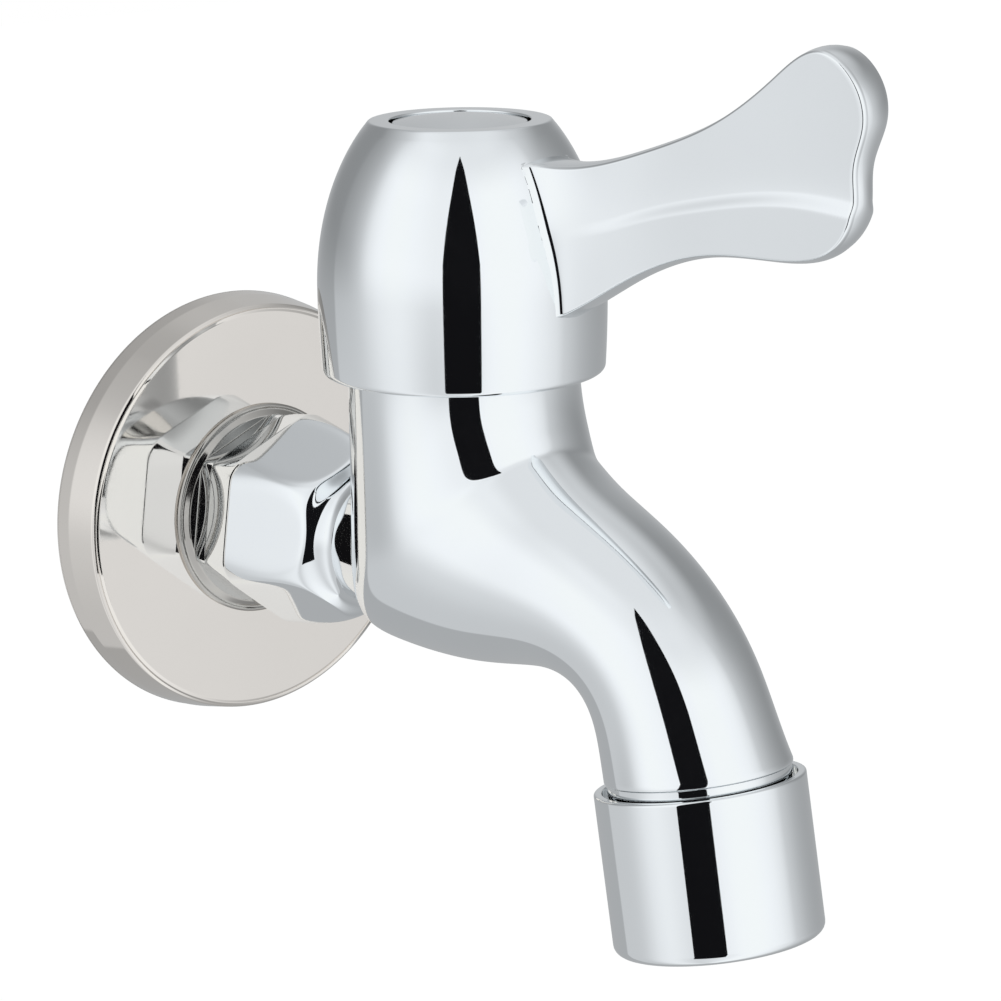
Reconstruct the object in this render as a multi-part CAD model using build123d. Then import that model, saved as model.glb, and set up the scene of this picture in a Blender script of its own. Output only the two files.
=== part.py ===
from build123d import *
import math
import os

# A wall tap for cold water, in millimetres.
# The wall is the plane y = 0 and the tap stands out towards -Y, with +Z up.
# The origin is where the inlet axis meets the wall.
# Barrel, neck and spout are symmetrical about the plane x = 0.

# Inlet and wall side
thread_radius = 10.48
thread_behind_wall = 14.0
thread_before_wall = 4.0
shank_radius = 9.9
inlet_bore_radius = 6.5
flange_radius = 30.0
flange_depth = 7.0
flange_bead = 1.6
flange_lean = 0.3
flange_wall_height = 3.2
flange_crown_inset = 0.75
flange_crown_drop = 1.0
flange_inner_ease = 0.4
flange_sheet = 0.9
flange_hole_gap = 0.15
collar_radius = 14.9
collar_thickness = 1.2
collar_edge = 0.4

# Hexagon boss and neck
boss_across_flats = 26.6
boss_turn = 8.0
boss_foot_taper = 4.2
boss_foot_step = 0.8
boss_tip_taper = 5.6
boss_chamfer_length = 8.2
boss_dome_radius = 14.7
boss_dome_inset = 0.95
boss_dome_run = 14.4
boss_foot_inset = 0.4
boss_length = 22.2
neck_radius = 10.6
neck_blend = 3.0
neck_overlap = 1.0

# Barrel
barrel_out = 51.3
barrel_radius = 15.2
barrel_top = 31.0
chamber_radius = 11.0
chamber_floor = 9.5
seat_bore_radius = 5.0

# Handle
hub_skirt_drop = 4.7
hub_skirt_gap = 1.26
hub_wall = 2.4
hub_foot_taper = 0.36
hub_bell_height = 21.6
hub_shoulder_rise = 2.0
hub_shoulder_inset = 3.2
hub_edge = 0.8
hub_crown_edge = 0.5
hub_rim_width = 2.65
socket_wall = 3.4
lever_turn = 9.0
lever_edge = 0.6
lever_slab = 12.0
lever_tip_from = 46.0
button_radius = 9.0
button_gap = 0.15
button_thickness = 2.6
button_dome = 0.6
button_rise = 0.3
button_clearance = 0.5

# Cartridge
running_gap = 0.05
thread_gap = 0.03
loose_gap = 0.3
disc_radius = 7.9
disc_thickness = 2.6
seat_gasket_height = 2.0
seat_gasket_radius = 7.7
seat_gasket_inset = 0.6
port_rim = 1.6
port_inner_radius = 2.2
port_web = 0.8
dog_width = 2.2
dog_depth = 1.0
dog_gap = 0.1
housing_skirt_radius = 9.9
housing_skirt_drop = 1.5
housing_head_across_flats = 24.0
housing_head_height = 5.0
housing_neck_radius = 9.0
housing_neck_height = 4.0
housing_roof = 12.0
housing_thread_rise = 2.4
housing_window_width = 7.0
gasket_height = 1.0
gasket_width = 2.6
stem_radius = 4.0
stem_shoulder_radius = 6.0
stem_foot_height = 2.6
stem_foot_gap = 0.4
stem_washer_height = 1.0
stem_square = 6.4
stem_square_length = 7.5
stem_clip_height = 0.8
stem_clip_radius = 5.6
clip_groove_depth = 0.6
clip_mouth = 3.2
clip_headroom = 1.2
o_ring_section = 0.9
o_ring_inset = 2.0
socket_gap = 0.05
screw_radius = 1.95
screw_head_radius = 3.6
screw_head_height = 2.0
screw_length = 9.0
screw_head_edge = 0.5
screw_slot_length = 4.0
screw_slot_width = 0.9
screw_slot_depth = 1.2
washer_thickness = 0.8
washer_radius = 4.5
washer_hole_gap = 0.2
web_thickness = 2.1

# Nozzle
nozzle_reach = 43.64
nozzle_height = -19.75
nozzle_tilt = 10.2
sleeve_radius = 13.37
sleeve_length = 20.5
sleeve_bore_radius = 11.6
sleeve_mouth_radius = 12.3
sleeve_mouth_depth = 1.3
sleeve_lip_radius = 9.6
sleeve_lip_height = 1.6
sleeve_edge = 1.2
spout_end_radius = 12.2
spout_end_gap = 1.6
spout_ring_radius = 11.7
nipple_length = 8.0
nipple_bore_radius = 8.4
spout_bore_radius = 5.5
spout_bore_start = (2.7, 17.0)
spout_bore_bend = (27.2, 1.5)
spout_bore_end = 6.0
spout_bore_turn = 9.0
nozzle_washer_height = 2.0
basket_wall = 1.2
basket_floor = 1.4
basket_lip = 0.9
diffuser_thickness = 1.6
diffuser_drop = 0.4
diffuser_hole = 0.8
diffuser_pitch = 3.4
screen_thickness = 0.8
screen_hole = 0.9
screen_pitch = 2.5
screen_gap = 1.4
screen_margin = 0.7
spacer_width = 0.9

# Stations of the spout in the plane x = 0, from under the hub to near the nozzle.
# Each row holds a front point, a back point and a half width.
# A point is its reach from the barrel's axis and its height.
# They are drawn for the barrel radius given first, and widen with the real one near the barrel.
drawn_barrel_radius = 15.2
spout_stations = [
    ((15.9, 21.4), (-15.0, 18.1), 15.5),
    ((18.0, 17.4), (-14.6, 6.3), 16.1),
    ((21.4, 15.3), (-14.0, -5.7), 15.8),
    ((25.0, 13.6), (-5.5, -11.5), 15.2),
    ((29.4, 11.6), (5.7, -11.6), 14.1),
    ((34.7, 8.7), (16.0, -10.1), 12.9),
    ((40.5, 4.8), (24.4, -9.8), 11.9),
    ((45.8, -0.3), (29.1, -12.5), 11.2),
    ((49.9, -6.2), (30.4, -16.0), 11.1),
]
spout_rim_height = 2.4
spout_rim_flare = 0.2

# Side view of the lever, as reach from the barrel's axis and height over the hub's belt
lever_top = [
    (11.8, 18.2), (18.0, 17.6), (25.1, 18.6), (31.3, 20.5),
    (40.4, 24.1), (50.4, 30.7), (57.8, 34.6),
]
lever_end = [(63.1, 30.9), (64.1, 26.0), (62.5, 21.0), (62.3, 16.3), (59.0, 10.9)]
lever_under = [(49.0, 8.3), (40.3, 7.6), (34.3, 6.0), (28.1, 3.1), (23.3, 0.3), (16.3, -3.5)]

# Cuts across the lever: reach, height of the valley over the belt, and the half
# thickness at the valley, at the upper rim and at the lower rim
lever_cuts = [
    (8.0, 7.0, 4.9, 4.9, 4.9),
    (16.0, 8.8, 4.4, 4.3, 4.2),
    (21.0, 10.2, 3.3, 3.4, 3.3),
    (28.0, 12.2, 2.6, 3.0, 2.8),
    (40.0, 15.4, 2.3, 3.1, 2.7),
    (53.0, 17.0, 2.1, 3.3, 2.6),
    (68.0, 15.6, 2.1, 3.4, 2.6),
]
lever_rim_rise = 12.0
lever_foot_drop = 11.0
lever_valley_ease = 2.5
lever_floor = -9.5
lever_roof = 40.0

# Values that follow from the ones above
nozzle_angle = math.radians(nozzle_tilt)
nozzle_out = barrel_out + nozzle_reach
barrel_axis = Location((0, -barrel_out, 0))
nozzle_place = Location((0, -nozzle_out, nozzle_height), (-nozzle_tilt, 0, 0))
flange_face_radius = flange_radius - flange_bead
collar_seat = flange_depth
boss_foot = collar_seat + collar_thickness
boss_end = boss_foot + boss_length
boss_shoulder = boss_foot + boss_chamfer_length
disc_floor = chamber_floor + seat_gasket_height
disc_joint = disc_floor + disc_thickness
disc_roof = disc_joint + disc_thickness
stem_foot_top = disc_roof + stem_foot_height
gasket_top = barrel_top + gasket_height
head_top = gasket_top + housing_head_height
housing_top = head_top + housing_neck_height
shoulder_roof = housing_top - housing_roof
shoulder_top = shoulder_roof - stem_washer_height
housing_bore_radius = disc_radius + loose_gap
clip_bottom = housing_top + loose_gap
socket_floor = clip_bottom + stem_clip_height + clip_headroom
stem_top = socket_floor + stem_square_length
web_bottom = stem_top + loose_gap
washer_floor = web_bottom + web_thickness
screw_head_floor = washer_floor + washer_thickness
screw_head_top = screw_head_floor + screw_head_height
button_floor = screw_head_top + button_clearance
hub_top = button_floor + button_thickness
hub_belt = hub_top - hub_bell_height
hub_bottom = barrel_top - hub_skirt_drop
hub_radius = barrel_radius + hub_skirt_gap + hub_wall
hub_foot_radius = hub_radius - hub_foot_taper
hub_flat_radius = button_radius + button_gap + hub_rim_width
basket_top = -nipple_length - nozzle_washer_height
basket_bottom = -sleeve_length + sleeve_lip_height
basket_radius = sleeve_bore_radius - running_gap
basket_inner = basket_radius - basket_wall
plate_radius = basket_inner - running_gap
diffuser_bottom = basket_top - diffuser_drop - diffuser_thickness
lower_screen = basket_bottom + basket_floor
upper_screen = lower_screen + screen_thickness + screen_gap


def yz(out, height):
    """A point of the plane x = 0, from its distance out of the wall and its height."""
    return Vector(0, -out, height)


def turned_profile(points):
    """A solid of revolution about Z from straight-sided (radius, height) points."""
    wire = Polyline([(r, 0, z) for r, z in points], close=True)
    return revolve(make_face(wire), Axis.Z)


def ring(outer, inner, bottom, top):
    """A plain ring about Z between two heights."""
    return turned_profile([(inner, bottom), (outer, bottom), (outer, top), (inner, top)])


def rod(radius, bottom, top):
    """A plain round bar about Z between two heights."""
    return Pos(0, 0, (bottom + top) / 2) * Cylinder(radius, top - bottom)


def on_inlet(shape):
    """Lays a shape that was made about Z along the inlet axis, with its +Z out of the wall."""
    return Rot(90, 0, 0) * shape


def hexagon_face(across_flats, height):
    """A hexagon face about Z with two level flats towards +X and -X."""
    return Pos(0, 0, height) * RegularPolygon(across_flats / 2, 6, major_radius=False, rotation=0)


def section_face(front, back, half_width):
    """One oval section of the barrel and spout, through its front and back points."""
    a = yz(*front)
    b = yz(*back)
    across = (a - b).normalized()
    plane = Plane(origin=(a + b) * 0.5, x_dir=(1, 0, 0), z_dir=Vector(1, 0, 0).cross(across))
    stretch = (a - b).length / (2 * half_width)
    return plane * scale(Circle(half_width), by=(1, stretch, 1))


def at_barrel(point):
    """Turns a reach from the barrel's axis into a distance from the wall."""
    return barrel_out + point[0], point[1]


def nozzle_ring_points(height, radius):
    """Front and back points, in the plane x = 0, of a circle about the nozzle's axis."""
    centre_out = nozzle_out - height * math.sin(nozzle_angle)
    centre_height = nozzle_height + height * math.cos(nozzle_angle)
    run = radius * math.cos(nozzle_angle)
    rise = radius * math.sin(nozzle_angle)
    front = (centre_out + run, centre_height + rise)
    back = (centre_out - run, centre_height - rise)
    return front, back


def body_stations():
    """All sections that are given: the barrel's rim, the knee, the spout and its end."""
    rows = []
    near, far = barrel_out - barrel_radius, barrel_out + barrel_radius
    for height in (barrel_top, hub_bottom):
        rows.append([far, height, near, height, barrel_radius])
    wider = barrel_radius - drawn_barrel_radius
    for row, (front, back, half_width) in enumerate(spout_stations):
        extra = wider * (1 - row / len(spout_stations))
        front_out, front_height = at_barrel(front)
        back_out, back_height = at_barrel(back)
        rows.append([front_out + extra, front_height, back_out - extra, back_height, half_width + extra])
    for height, flare in ((spout_rim_height, spout_rim_flare), (0, 0)):
        radius = spout_end_radius - flare
        front, back = nozzle_ring_points(spout_end_gap + height, radius)
        rows.append([*front, *back, radius])
    return rows


def with_halfway_rows(rows):
    """
    Puts a row between each pair of rows, on the smooth curve through their four neighbours:
    nine sixteenths of the two near ones less a sixteenth of the two far ones.
    """
    before = [2 * a - b for a, b in zip(rows[0], rows[1])]
    after = [2 * a - b for a, b in zip(rows[-1], rows[-2])]
    run = [before, *rows, after]
    result = []
    for far_before, here, following, far_after in zip(run, run[1:], run[2:], run[3:]):
        result.append(here)
        four = zip(far_before, here, following, far_after)
        result.append([(9 * (b + c) - a - d) / 16 for a, b, c, d in four])
    return [*result, rows[-1]]


def barrel_and_spout():
    """The flowing outer form, from the barrel's rim to the end of the spout."""
    faces = []
    for row in with_halfway_rows(body_stations()):
        front, back, half_width = row[0:2], row[2:4], row[4]
        faces.append(section_face(front, back, half_width))
    return loft(faces)


def hexagon_boss():
    """The spanner boss: six flats that taper both ways, cut in a dome that runs down to the neck."""
    foot = hexagon_face(boss_across_flats - boss_foot_taper, boss_foot)
    step = hexagon_face(boss_across_flats - boss_foot_taper, boss_foot + boss_foot_step)
    belt = hexagon_face(boss_across_flats, boss_shoulder)
    tip = hexagon_face(boss_across_flats - boss_tip_taper, boss_end)
    prism = extrude(foot, boss_foot_step)
    prism += loft([step, belt], ruled=True) + loft([belt, tip], ruled=True)
    foot_ring = (boss_dome_radius - boss_foot_inset, boss_foot)
    shoulder = (boss_dome_radius, boss_shoulder)
    middle = (boss_dome_radius - boss_dome_inset, boss_foot + boss_dome_run)
    with BuildLine(Plane.XZ) as outline:
        Line((0, boss_foot), foot_ring)
        Line(foot_ring, shoulder)
        ThreePointArc(shoulder, middle, (neck_radius, boss_end))
        Line((neck_radius, boss_end), (0, boss_end))
        Line((0, boss_end), (0, boss_foot))
    dome = revolve(make_face(outline.line), Axis.Z)
    return on_inlet(Rot(0, 0, -boss_turn) * prism & dome)


def water_ways():
    """The inlet bore, the riser to the seat, the chamber, and the bore of the spout."""
    inlet = on_inlet(rod(inlet_bore_radius, -thread_behind_wall, barrel_out))
    inlet += barrel_axis * Sphere(inlet_bore_radius)
    riser = barrel_axis * rod(seat_bore_radius, 0, chamber_floor + neck_overlap)
    chamber = barrel_axis * rod(chamber_radius, chamber_floor, barrel_top + neck_overlap)
    start = yz(*at_barrel(spout_bore_start))
    bend = yz(*at_barrel(spout_bore_bend))
    top = (nozzle_place * Pos(0, 0, spout_bore_end)).position
    end = (nozzle_place * Pos(0, 0, -nipple_length)).position
    path = FilletPolyline(start, bend, top, end, radius=spout_bore_turn)
    section = Plane(origin=start, z_dir=path % 0) * Circle(spout_bore_radius)
    spout = sweep(section, path=path)
    nipple = nozzle_place * rod(nipple_bore_radius, -nipple_length - neck_overlap, spout_end_gap)
    return inlet + riser + chamber + spout + nipple


def tap_body():
    """The casting: threaded inlet, hexagon boss, neck, barrel and spout in one piece."""
    inlet = on_inlet(rod(thread_radius, -thread_behind_wall, thread_before_wall))
    inlet += on_inlet(rod(shank_radius, thread_before_wall, boss_foot))
    neck = on_inlet(rod(neck_radius, boss_end - neck_overlap, barrel_out - barrel_radius / 2))
    trunk = barrel_and_spout() + neck
    joint = [e for e in trunk.edges() if is_neck_joint(e)]
    free_neck = barrel_out - barrel_radius - boss_end
    trunk = fillet(joint, min(neck_blend, free_neck / 2))
    nipple = nozzle_place * rod(sleeve_bore_radius - thread_gap, -nipple_length, 0)
    nipple += nozzle_place * rod(spout_ring_radius, 0, spout_end_gap)
    return trunk + inlet + hexagon_boss() + nipple - water_ways()


def is_neck_joint(edge):
    """True for the seam between the neck and the barrel."""
    middle = edge.center()
    near_barrel = -barrel_out < middle.Y < -boss_end
    return near_barrel and edge.bounding_box().size.Z > neck_radius and abs(middle.Z) < neck_radius


def wall_flange():
    """The pressed cup that hides the hole in the wall, with its rounded shoulder."""
    inside = flange_depth - flange_sheet
    hole = thread_radius + flange_hole_gap
    shoulder = (flange_radius - flange_lean, flange_wall_height)
    crown = (flange_radius - flange_crown_inset, flange_depth - flange_crown_drop)
    face_edge = (flange_face_radius, flange_depth)
    inner_edge = (flange_face_radius - flange_inner_ease, inside)
    inner_shoulder = (flange_radius - flange_sheet - flange_lean, inside - flange_bead)
    rim_edge = (flange_radius - flange_sheet, 0)
    with BuildLine(Plane.XZ) as outline:
        Line((flange_radius, 0), shoulder)
        ThreePointArc(shoulder, crown, face_edge)
        Polyline(face_edge, (hole, flange_depth), (hole, inside), inner_edge, inner_shoulder, rim_edge)
        Line(rim_edge, (flange_radius, 0))
    return on_inlet(revolve(make_face(outline.line), Axis.Z))


def flange_washer():
    """The thin ring between the flange and the hexagon."""
    washer = ring(collar_radius, thread_radius + flange_hole_gap, collar_seat, boss_foot)
    rims = washer.edges().filter_by(GeomType.CIRCLE).group_by(SortBy.RADIUS)[-1]
    return on_inlet(fillet(rims, collar_edge))


def cartridge_housing():
    """The screwed-in housing of the cartridge, with its hexagon head and side windows."""
    skirt_bottom = disc_floor - housing_skirt_drop
    thread_bottom = stem_foot_top + housing_thread_rise
    shell = rod(housing_skirt_radius, skirt_bottom, thread_bottom)
    shell += rod(chamber_radius - thread_gap, thread_bottom, gasket_top)
    shell += extrude(hexagon_face(housing_head_across_flats, gasket_top), housing_head_height)
    shell += rod(housing_neck_radius, head_top, housing_top)
    shell -= rod(housing_bore_radius, skirt_bottom, stem_foot_top + stem_foot_gap)
    shell -= rod(stem_shoulder_radius + running_gap, disc_roof, shoulder_roof)
    shell -= rod(stem_radius + running_gap, shoulder_roof, housing_top)
    window = Box(3 * housing_skirt_radius, housing_window_width, stem_foot_top - disc_joint)
    for turn in (45, 135):
        shell -= Pos(0, 0, (stem_foot_top + disc_joint) / 2) * Rot(0, 0, turn) * window
    return barrel_axis * shell


def housing_gasket():
    """The flat ring between the barrel's rim and the head of the housing."""
    inner = chamber_radius + thread_gap
    return barrel_axis * ring(chamber_radius + gasket_width, inner, barrel_top, gasket_top)


def disc_port(turn):
    """A quarter-round water port of a ceramic disc, as a cutter."""
    port = ring(disc_radius - port_rim, port_inner_radius, disc_floor - dog_depth, disc_roof + dog_depth)
    size = 3 * disc_radius
    quarter = Box(size, size, size, align=(Align.MIN, Align.MIN, Align.CENTER))
    return Rot(0, 0, turn) * (port & (Pos(port_web, port_web, disc_joint) * quarter))


def fixed_disc():
    """The lower ceramic disc, which stays still in the housing."""
    disc = rod(disc_radius, disc_floor, disc_joint)
    return barrel_axis * (disc - disc_port(0) - disc_port(180))


def moving_disc():
    """The upper ceramic disc, which the stem turns over the ports of the lower one."""
    disc = rod(disc_radius, disc_joint, disc_roof) - disc_port(90) - disc_port(270)
    slot = Pos(0, 0, disc_roof) * Box(2 * disc_radius, dog_width, 2 * dog_depth)
    return barrel_axis * Rot(0, 0, lever_turn) * (disc - slot)


def seat_gasket():
    """The rubber ring that seals the fixed disc on the seat of the body."""
    inner = seat_bore_radius + seat_gasket_inset
    return barrel_axis * ring(seat_gasket_radius, inner, chamber_floor, disc_floor)


def o_ring_heights():
    """The two heights of the stem's sealing rings."""
    return stem_foot_top + o_ring_inset, shoulder_top - o_ring_inset


def cartridge_stem():
    """The turning spindle: drive foot, sealed shoulder, shaft and square top."""
    dog_length = 2 * (disc_radius - seat_gasket_inset)
    stem = rod(disc_radius, disc_roof, stem_foot_top)
    dog = Box(dog_length, dog_width - 2 * dog_gap, 2 * (dog_depth - running_gap))
    stem += Pos(0, 0, disc_roof) * dog
    stem += rod(stem_shoulder_radius, stem_foot_top, shoulder_top)
    stem += rod(stem_radius, shoulder_top, socket_floor)
    square = Pos(0, 0, (socket_floor + stem_top) / 2) * Box(stem_square, stem_square, stem_square_length)
    stem += square & rod(stem_radius, socket_floor, stem_top)
    for height in o_ring_heights():
        groove = height - o_ring_section, height + o_ring_section
        stem -= ring(disc_radius, stem_shoulder_radius - 2 * o_ring_section, *groove)
    clip_top = clip_bottom + stem_clip_height
    stem -= ring(stem_clip_radius, stem_radius - clip_groove_depth, clip_bottom, clip_top)
    stem -= rod(screw_radius + running_gap, stem_top - screw_length, stem_top)
    return barrel_axis * Rot(0, 0, lever_turn) * stem


def stem_o_rings():
    """The two sealing rings in the grooves of the stem's shoulder."""
    centre = stem_shoulder_radius - o_ring_section
    rings = [Pos(0, 0, z) * Torus(centre, o_ring_section) for z in o_ring_heights()]
    return Compound(children=[barrel_axis * r for r in rings])


def stem_washer():
    """The slippery ring between the stem's shoulder and the roof of the housing."""
    return barrel_axis * ring(stem_shoulder_radius, stem_radius, shoulder_top, shoulder_roof)


def stem_clip():
    """The open spring ring that keeps the stem in the housing."""
    clip_top = clip_bottom + stem_clip_height
    clip = ring(stem_clip_radius, stem_radius - clip_groove_depth, clip_bottom, clip_top)
    cutter = Box(2 * stem_clip_radius, clip_mouth, 4 * stem_clip_height)
    clip -= Pos(stem_clip_radius, 0, clip_bottom) * cutter
    return barrel_axis * Rot(0, 0, lever_turn + 45) * clip


def hub_solid():
    """The bell of the handle, before it is hollowed."""
    bell_angle = math.acos(hub_flat_radius / hub_radius)
    bell_height = hub_bell_height / math.sin(bell_angle)
    steps = [bell_angle * share for share in (0, 0.35, 0.7, 1)]
    bell_points = [(hub_radius * math.cos(a), hub_belt + bell_height * math.sin(a)) for a in steps]
    bell_end = (-hub_radius * math.sin(bell_angle), bell_height * math.cos(bell_angle))
    waist = (hub_radius - hub_foot_taper / 4, (hub_bottom + hub_belt) / 2)
    with BuildLine(Plane.XZ) as outline:
        Line((0, hub_bottom), (hub_foot_radius, hub_bottom))
        ThreePointArc((hub_foot_radius, hub_bottom), waist, (hub_radius, hub_belt))
        Spline(*bell_points, tangents=[(0, 1), bell_end])
        Line((hub_flat_radius, hub_top), (0, hub_top))
        Line((0, hub_top), (0, hub_bottom))
    bell = revolve(make_face(outline.line), Axis.Z)
    rims = bell.edges().filter_by(GeomType.CIRCLE).sort_by(Axis.Z)
    bell = fillet(rims[0], hub_edge)
    return fillet(bell.edges().filter_by(GeomType.CIRCLE).sort_by(Axis.Z)[-1], hub_crown_edge)


def hub_hollow():
    """The space in the hub over the cartridge, with the socket boss left standing."""
    skirt = hub_radius - hub_wall
    below = hub_bottom - hub_wall
    shoulder = hub_belt + hub_shoulder_rise
    inset = skirt - hub_shoulder_inset
    profile = [(0, below), (skirt, below), (skirt, shoulder), (inset, web_bottom), (0, web_bottom)]
    return turned_profile(profile) - rod(stem_radius + socket_wall, socket_floor, hub_top)


def over_belt(points):
    """Lifts points of the lever's side view from the hub's belt to their real height."""
    return [(reach, hub_belt + height) for reach, height in points]


def lever_outline():
    """The side view of the lever."""
    points = over_belt(lever_top + lever_end + lever_under)
    with BuildLine(Plane.XZ) as outline:
        Spline(*points)
        Line(points[-1], points[0])
    return make_face(outline.line)


def lever_section(reach, valley, thin, upper, lower):
    """
    A cut across the lever: both faces are dished towards a valley line.
    The half thickness grows from thin at the valley to upper and lower at the rims.
    """
    up_slope = (upper - thin) / lever_rim_rise
    down_slope = (lower - thin) / lever_foot_drop
    side = [
        (thin + down_slope * (valley - lever_floor), lever_floor),
        (thin + down_slope * lever_valley_ease, valley - lever_valley_ease),
        (thin + up_slope * lever_valley_ease, valley + lever_valley_ease),
        (thin + up_slope * (lever_roof - valley), lever_roof),
    ]
    plane = Plane(origin=(reach, 0, hub_belt), x_dir=(0, 1, 0), z_dir=(1, 0, 0))
    other = [(-half, height) for half, height in reversed(side)]
    with BuildLine(plane) as outline:
        Spline(*side)
        Line(side[-1], other[0])
        Spline(*other)
        Line(other[-1], side[0])
    return make_face(outline.line)


def lever():
    """The flat paddle, dished on both faces and flared where it leaves the hub."""
    block = loft([lever_section(*cut) for cut in lever_cuts])
    slab = extrude(lever_outline(), lever_slab, both=True)
    paddle = slab & block
    rims = [e for e in paddle.edges() if e.bounding_box().max.X > lever_tip_from]
    return fillet(rims, lever_edge)


def handle():
    """Hub and lever as one casting, hollowed from below, with its recess on top."""
    paddle = Rot(0, 0, lever_turn - 90) * lever()
    casting = hub_solid() + paddle
    casting -= hub_hollow()
    square = stem_square + 2 * socket_gap
    socket = Pos(0, 0, (socket_floor + web_bottom) / 2) * Box(square, square, web_bottom - socket_floor)
    socket = socket & rod(stem_radius + socket_gap, socket_floor, web_bottom)
    casting -= Rot(0, 0, lever_turn) * socket
    casting -= rod(screw_radius + loose_gap, web_bottom, washer_floor)
    casting -= rod(washer_radius + loose_gap, washer_floor, button_floor)
    casting -= rod(button_radius + button_gap, button_floor, hub_top + button_rise)
    return barrel_axis * casting


def handle_screw():
    """The screw that holds the handle on the stem, with a cross recess in its head."""
    head = rod(screw_head_radius, screw_head_floor, screw_head_top)
    head = fillet(head.edges().group_by(Axis.Z)[-1], screw_head_edge)
    shank = rod(screw_radius, screw_head_floor - screw_length, screw_head_floor)
    bar = Box(screw_slot_length, screw_slot_width, 2 * screw_slot_depth)
    cross = bar + Rot(0, 0, 90) * bar
    return barrel_axis * (head + shank - Pos(0, 0, screw_head_top) * cross)


def screw_washer():
    """The flat washer under the screw's head."""
    inner = screw_radius + washer_hole_gap
    return barrel_axis * ring(washer_radius, inner, washer_floor, screw_head_floor)


def index_button():
    """The plain index disc on top of the hub, slightly domed."""
    crown = hub_top + button_rise
    dome_radius = (button_radius**2 + button_dome**2) / (2 * button_dome)
    half = button_radius / 2
    middle = (half, crown - dome_radius + math.sqrt(dome_radius**2 - half**2))
    rim = (button_radius, crown - button_dome)
    with BuildLine(Plane.XZ) as outline:
        Line((0, button_floor), (button_radius, button_floor))
        Line((button_radius, button_floor), rim)
        ThreePointArc(rim, middle, (0, crown))
        Line((0, crown), (0, button_floor))
    return barrel_axis * revolve(make_face(outline.line), Axis.Z)


def nozzle_sleeve():
    """The round sleeve on the spout's end, with its mouth, bore and inner lip."""
    sleeve = rod(sleeve_radius, -sleeve_length, 0)
    sleeve = fillet(sleeve.edges().group_by(Axis.Z)[0], sleeve_edge)
    sleeve -= rod(sleeve_bore_radius, basket_bottom, 0)
    sleeve -= rod(sleeve_mouth_radius, -sleeve_mouth_depth, 0)
    sleeve -= rod(sleeve_lip_radius, -sleeve_length, basket_bottom)
    return nozzle_place * sleeve


def nozzle_washer():
    """The rubber ring between the end of the spout and the aerator."""
    return nozzle_place * ring(basket_radius, nipple_bore_radius, basket_top, -nipple_length)


def aerator_basket():
    """The plastic cup that holds the aerator's parts on the lip of the sleeve."""
    cup = ring(basket_radius, basket_inner, basket_bottom, basket_top)
    lip = ring(basket_inner, sleeve_lip_radius - basket_lip, basket_bottom, lower_screen)
    return nozzle_place * (cup + lip)


def honeycomb(bottom, thickness, hole, pitch):
    """A round plate of the aerator with hexagonal holes in a close pattern."""
    plate = rod(plate_radius, bottom, bottom + thickness)
    reach = plate_radius - hole - screen_margin
    rows = int(reach / pitch) + 1
    holes = []
    for row in range(-rows, rows + 1):
        for place in range(-rows, rows + 1):
            x = pitch * (place + (row % 2) / 2)
            y = pitch * row * math.sqrt(3) / 2
            if math.hypot(x, y) <= reach:
                holes.append(Pos(x, y, bottom) * RegularPolygon(hole, 6, rotation=30))
    return plate - extrude(Sketch() + holes, thickness)


def aerator_diffuser():
    """The upper plate that breaks the stream into jets."""
    return nozzle_place * honeycomb(diffuser_bottom, diffuser_thickness, diffuser_hole, diffuser_pitch)


def aerator_screens():
    """The two screens that mix air into the stream."""
    plates = [honeycomb(z, screen_thickness, screen_hole, screen_pitch) for z in (lower_screen, upper_screen)]
    return Compound(children=[nozzle_place * p for p in plates])


def aerator_spacers():
    """The two rings that keep the screens and the diffuser apart."""
    inner = plate_radius - spacer_width
    lower = ring(plate_radius, inner, lower_screen + screen_thickness, upper_screen)
    upper = ring(plate_radius, inner, upper_screen + screen_thickness, diffuser_bottom)
    return Compound(children=[nozzle_place * lower, nozzle_place * upper])


pieces = {
    "tap_body": tap_body,
    "wall_flange": wall_flange,
    "flange_washer": flange_washer,
    "cartridge_housing": cartridge_housing,
    "housing_gasket": housing_gasket,
    "fixed_disc": fixed_disc,
    "moving_disc": moving_disc,
    "seat_gasket": seat_gasket,
    "cartridge_stem": cartridge_stem,
    "stem_o_rings": stem_o_rings,
    "stem_washer": stem_washer,
    "stem_clip": stem_clip,
    "handle": handle,
    "handle_screw": handle_screw,
    "screw_washer": screw_washer,
    "index_button": index_button,
    "nozzle_sleeve": nozzle_sleeve,
    "nozzle_washer": nozzle_washer,
    "aerator_basket": aerator_basket,
    "aerator_diffuser": aerator_diffuser,
    "aerator_screens": aerator_screens,
    "aerator_spacers": aerator_spacers,
}

os.makedirs("parts", exist_ok=True)
for name, make in pieces.items():
    shape = make()
    shape.label = name
    export_step(shape, f"parts/{name}.step")
    print(name, len(shape.solids()), round(shape.volume, 1))
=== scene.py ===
import math

import bpy
import numpy as np
from bpy.props import FloatProperty, FloatVectorProperty, PointerProperty
from mathutils import Matrix


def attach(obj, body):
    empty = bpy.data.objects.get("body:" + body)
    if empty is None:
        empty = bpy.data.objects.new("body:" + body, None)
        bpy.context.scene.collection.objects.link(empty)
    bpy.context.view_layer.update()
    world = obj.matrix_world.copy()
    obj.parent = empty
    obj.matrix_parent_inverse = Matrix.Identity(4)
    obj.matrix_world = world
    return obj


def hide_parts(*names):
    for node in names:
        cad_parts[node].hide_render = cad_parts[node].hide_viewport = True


bl_info = {
    "name": "Wall tap",
    "version": (1, 0, 0),
    "blender": (4, 5, 0),
    "location": "3D View > Sidebar > Wall tap",
    "description": "Builds the visible castings of a chrome wall tap on its construction frame",
    "category": "Object",
}

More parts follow.
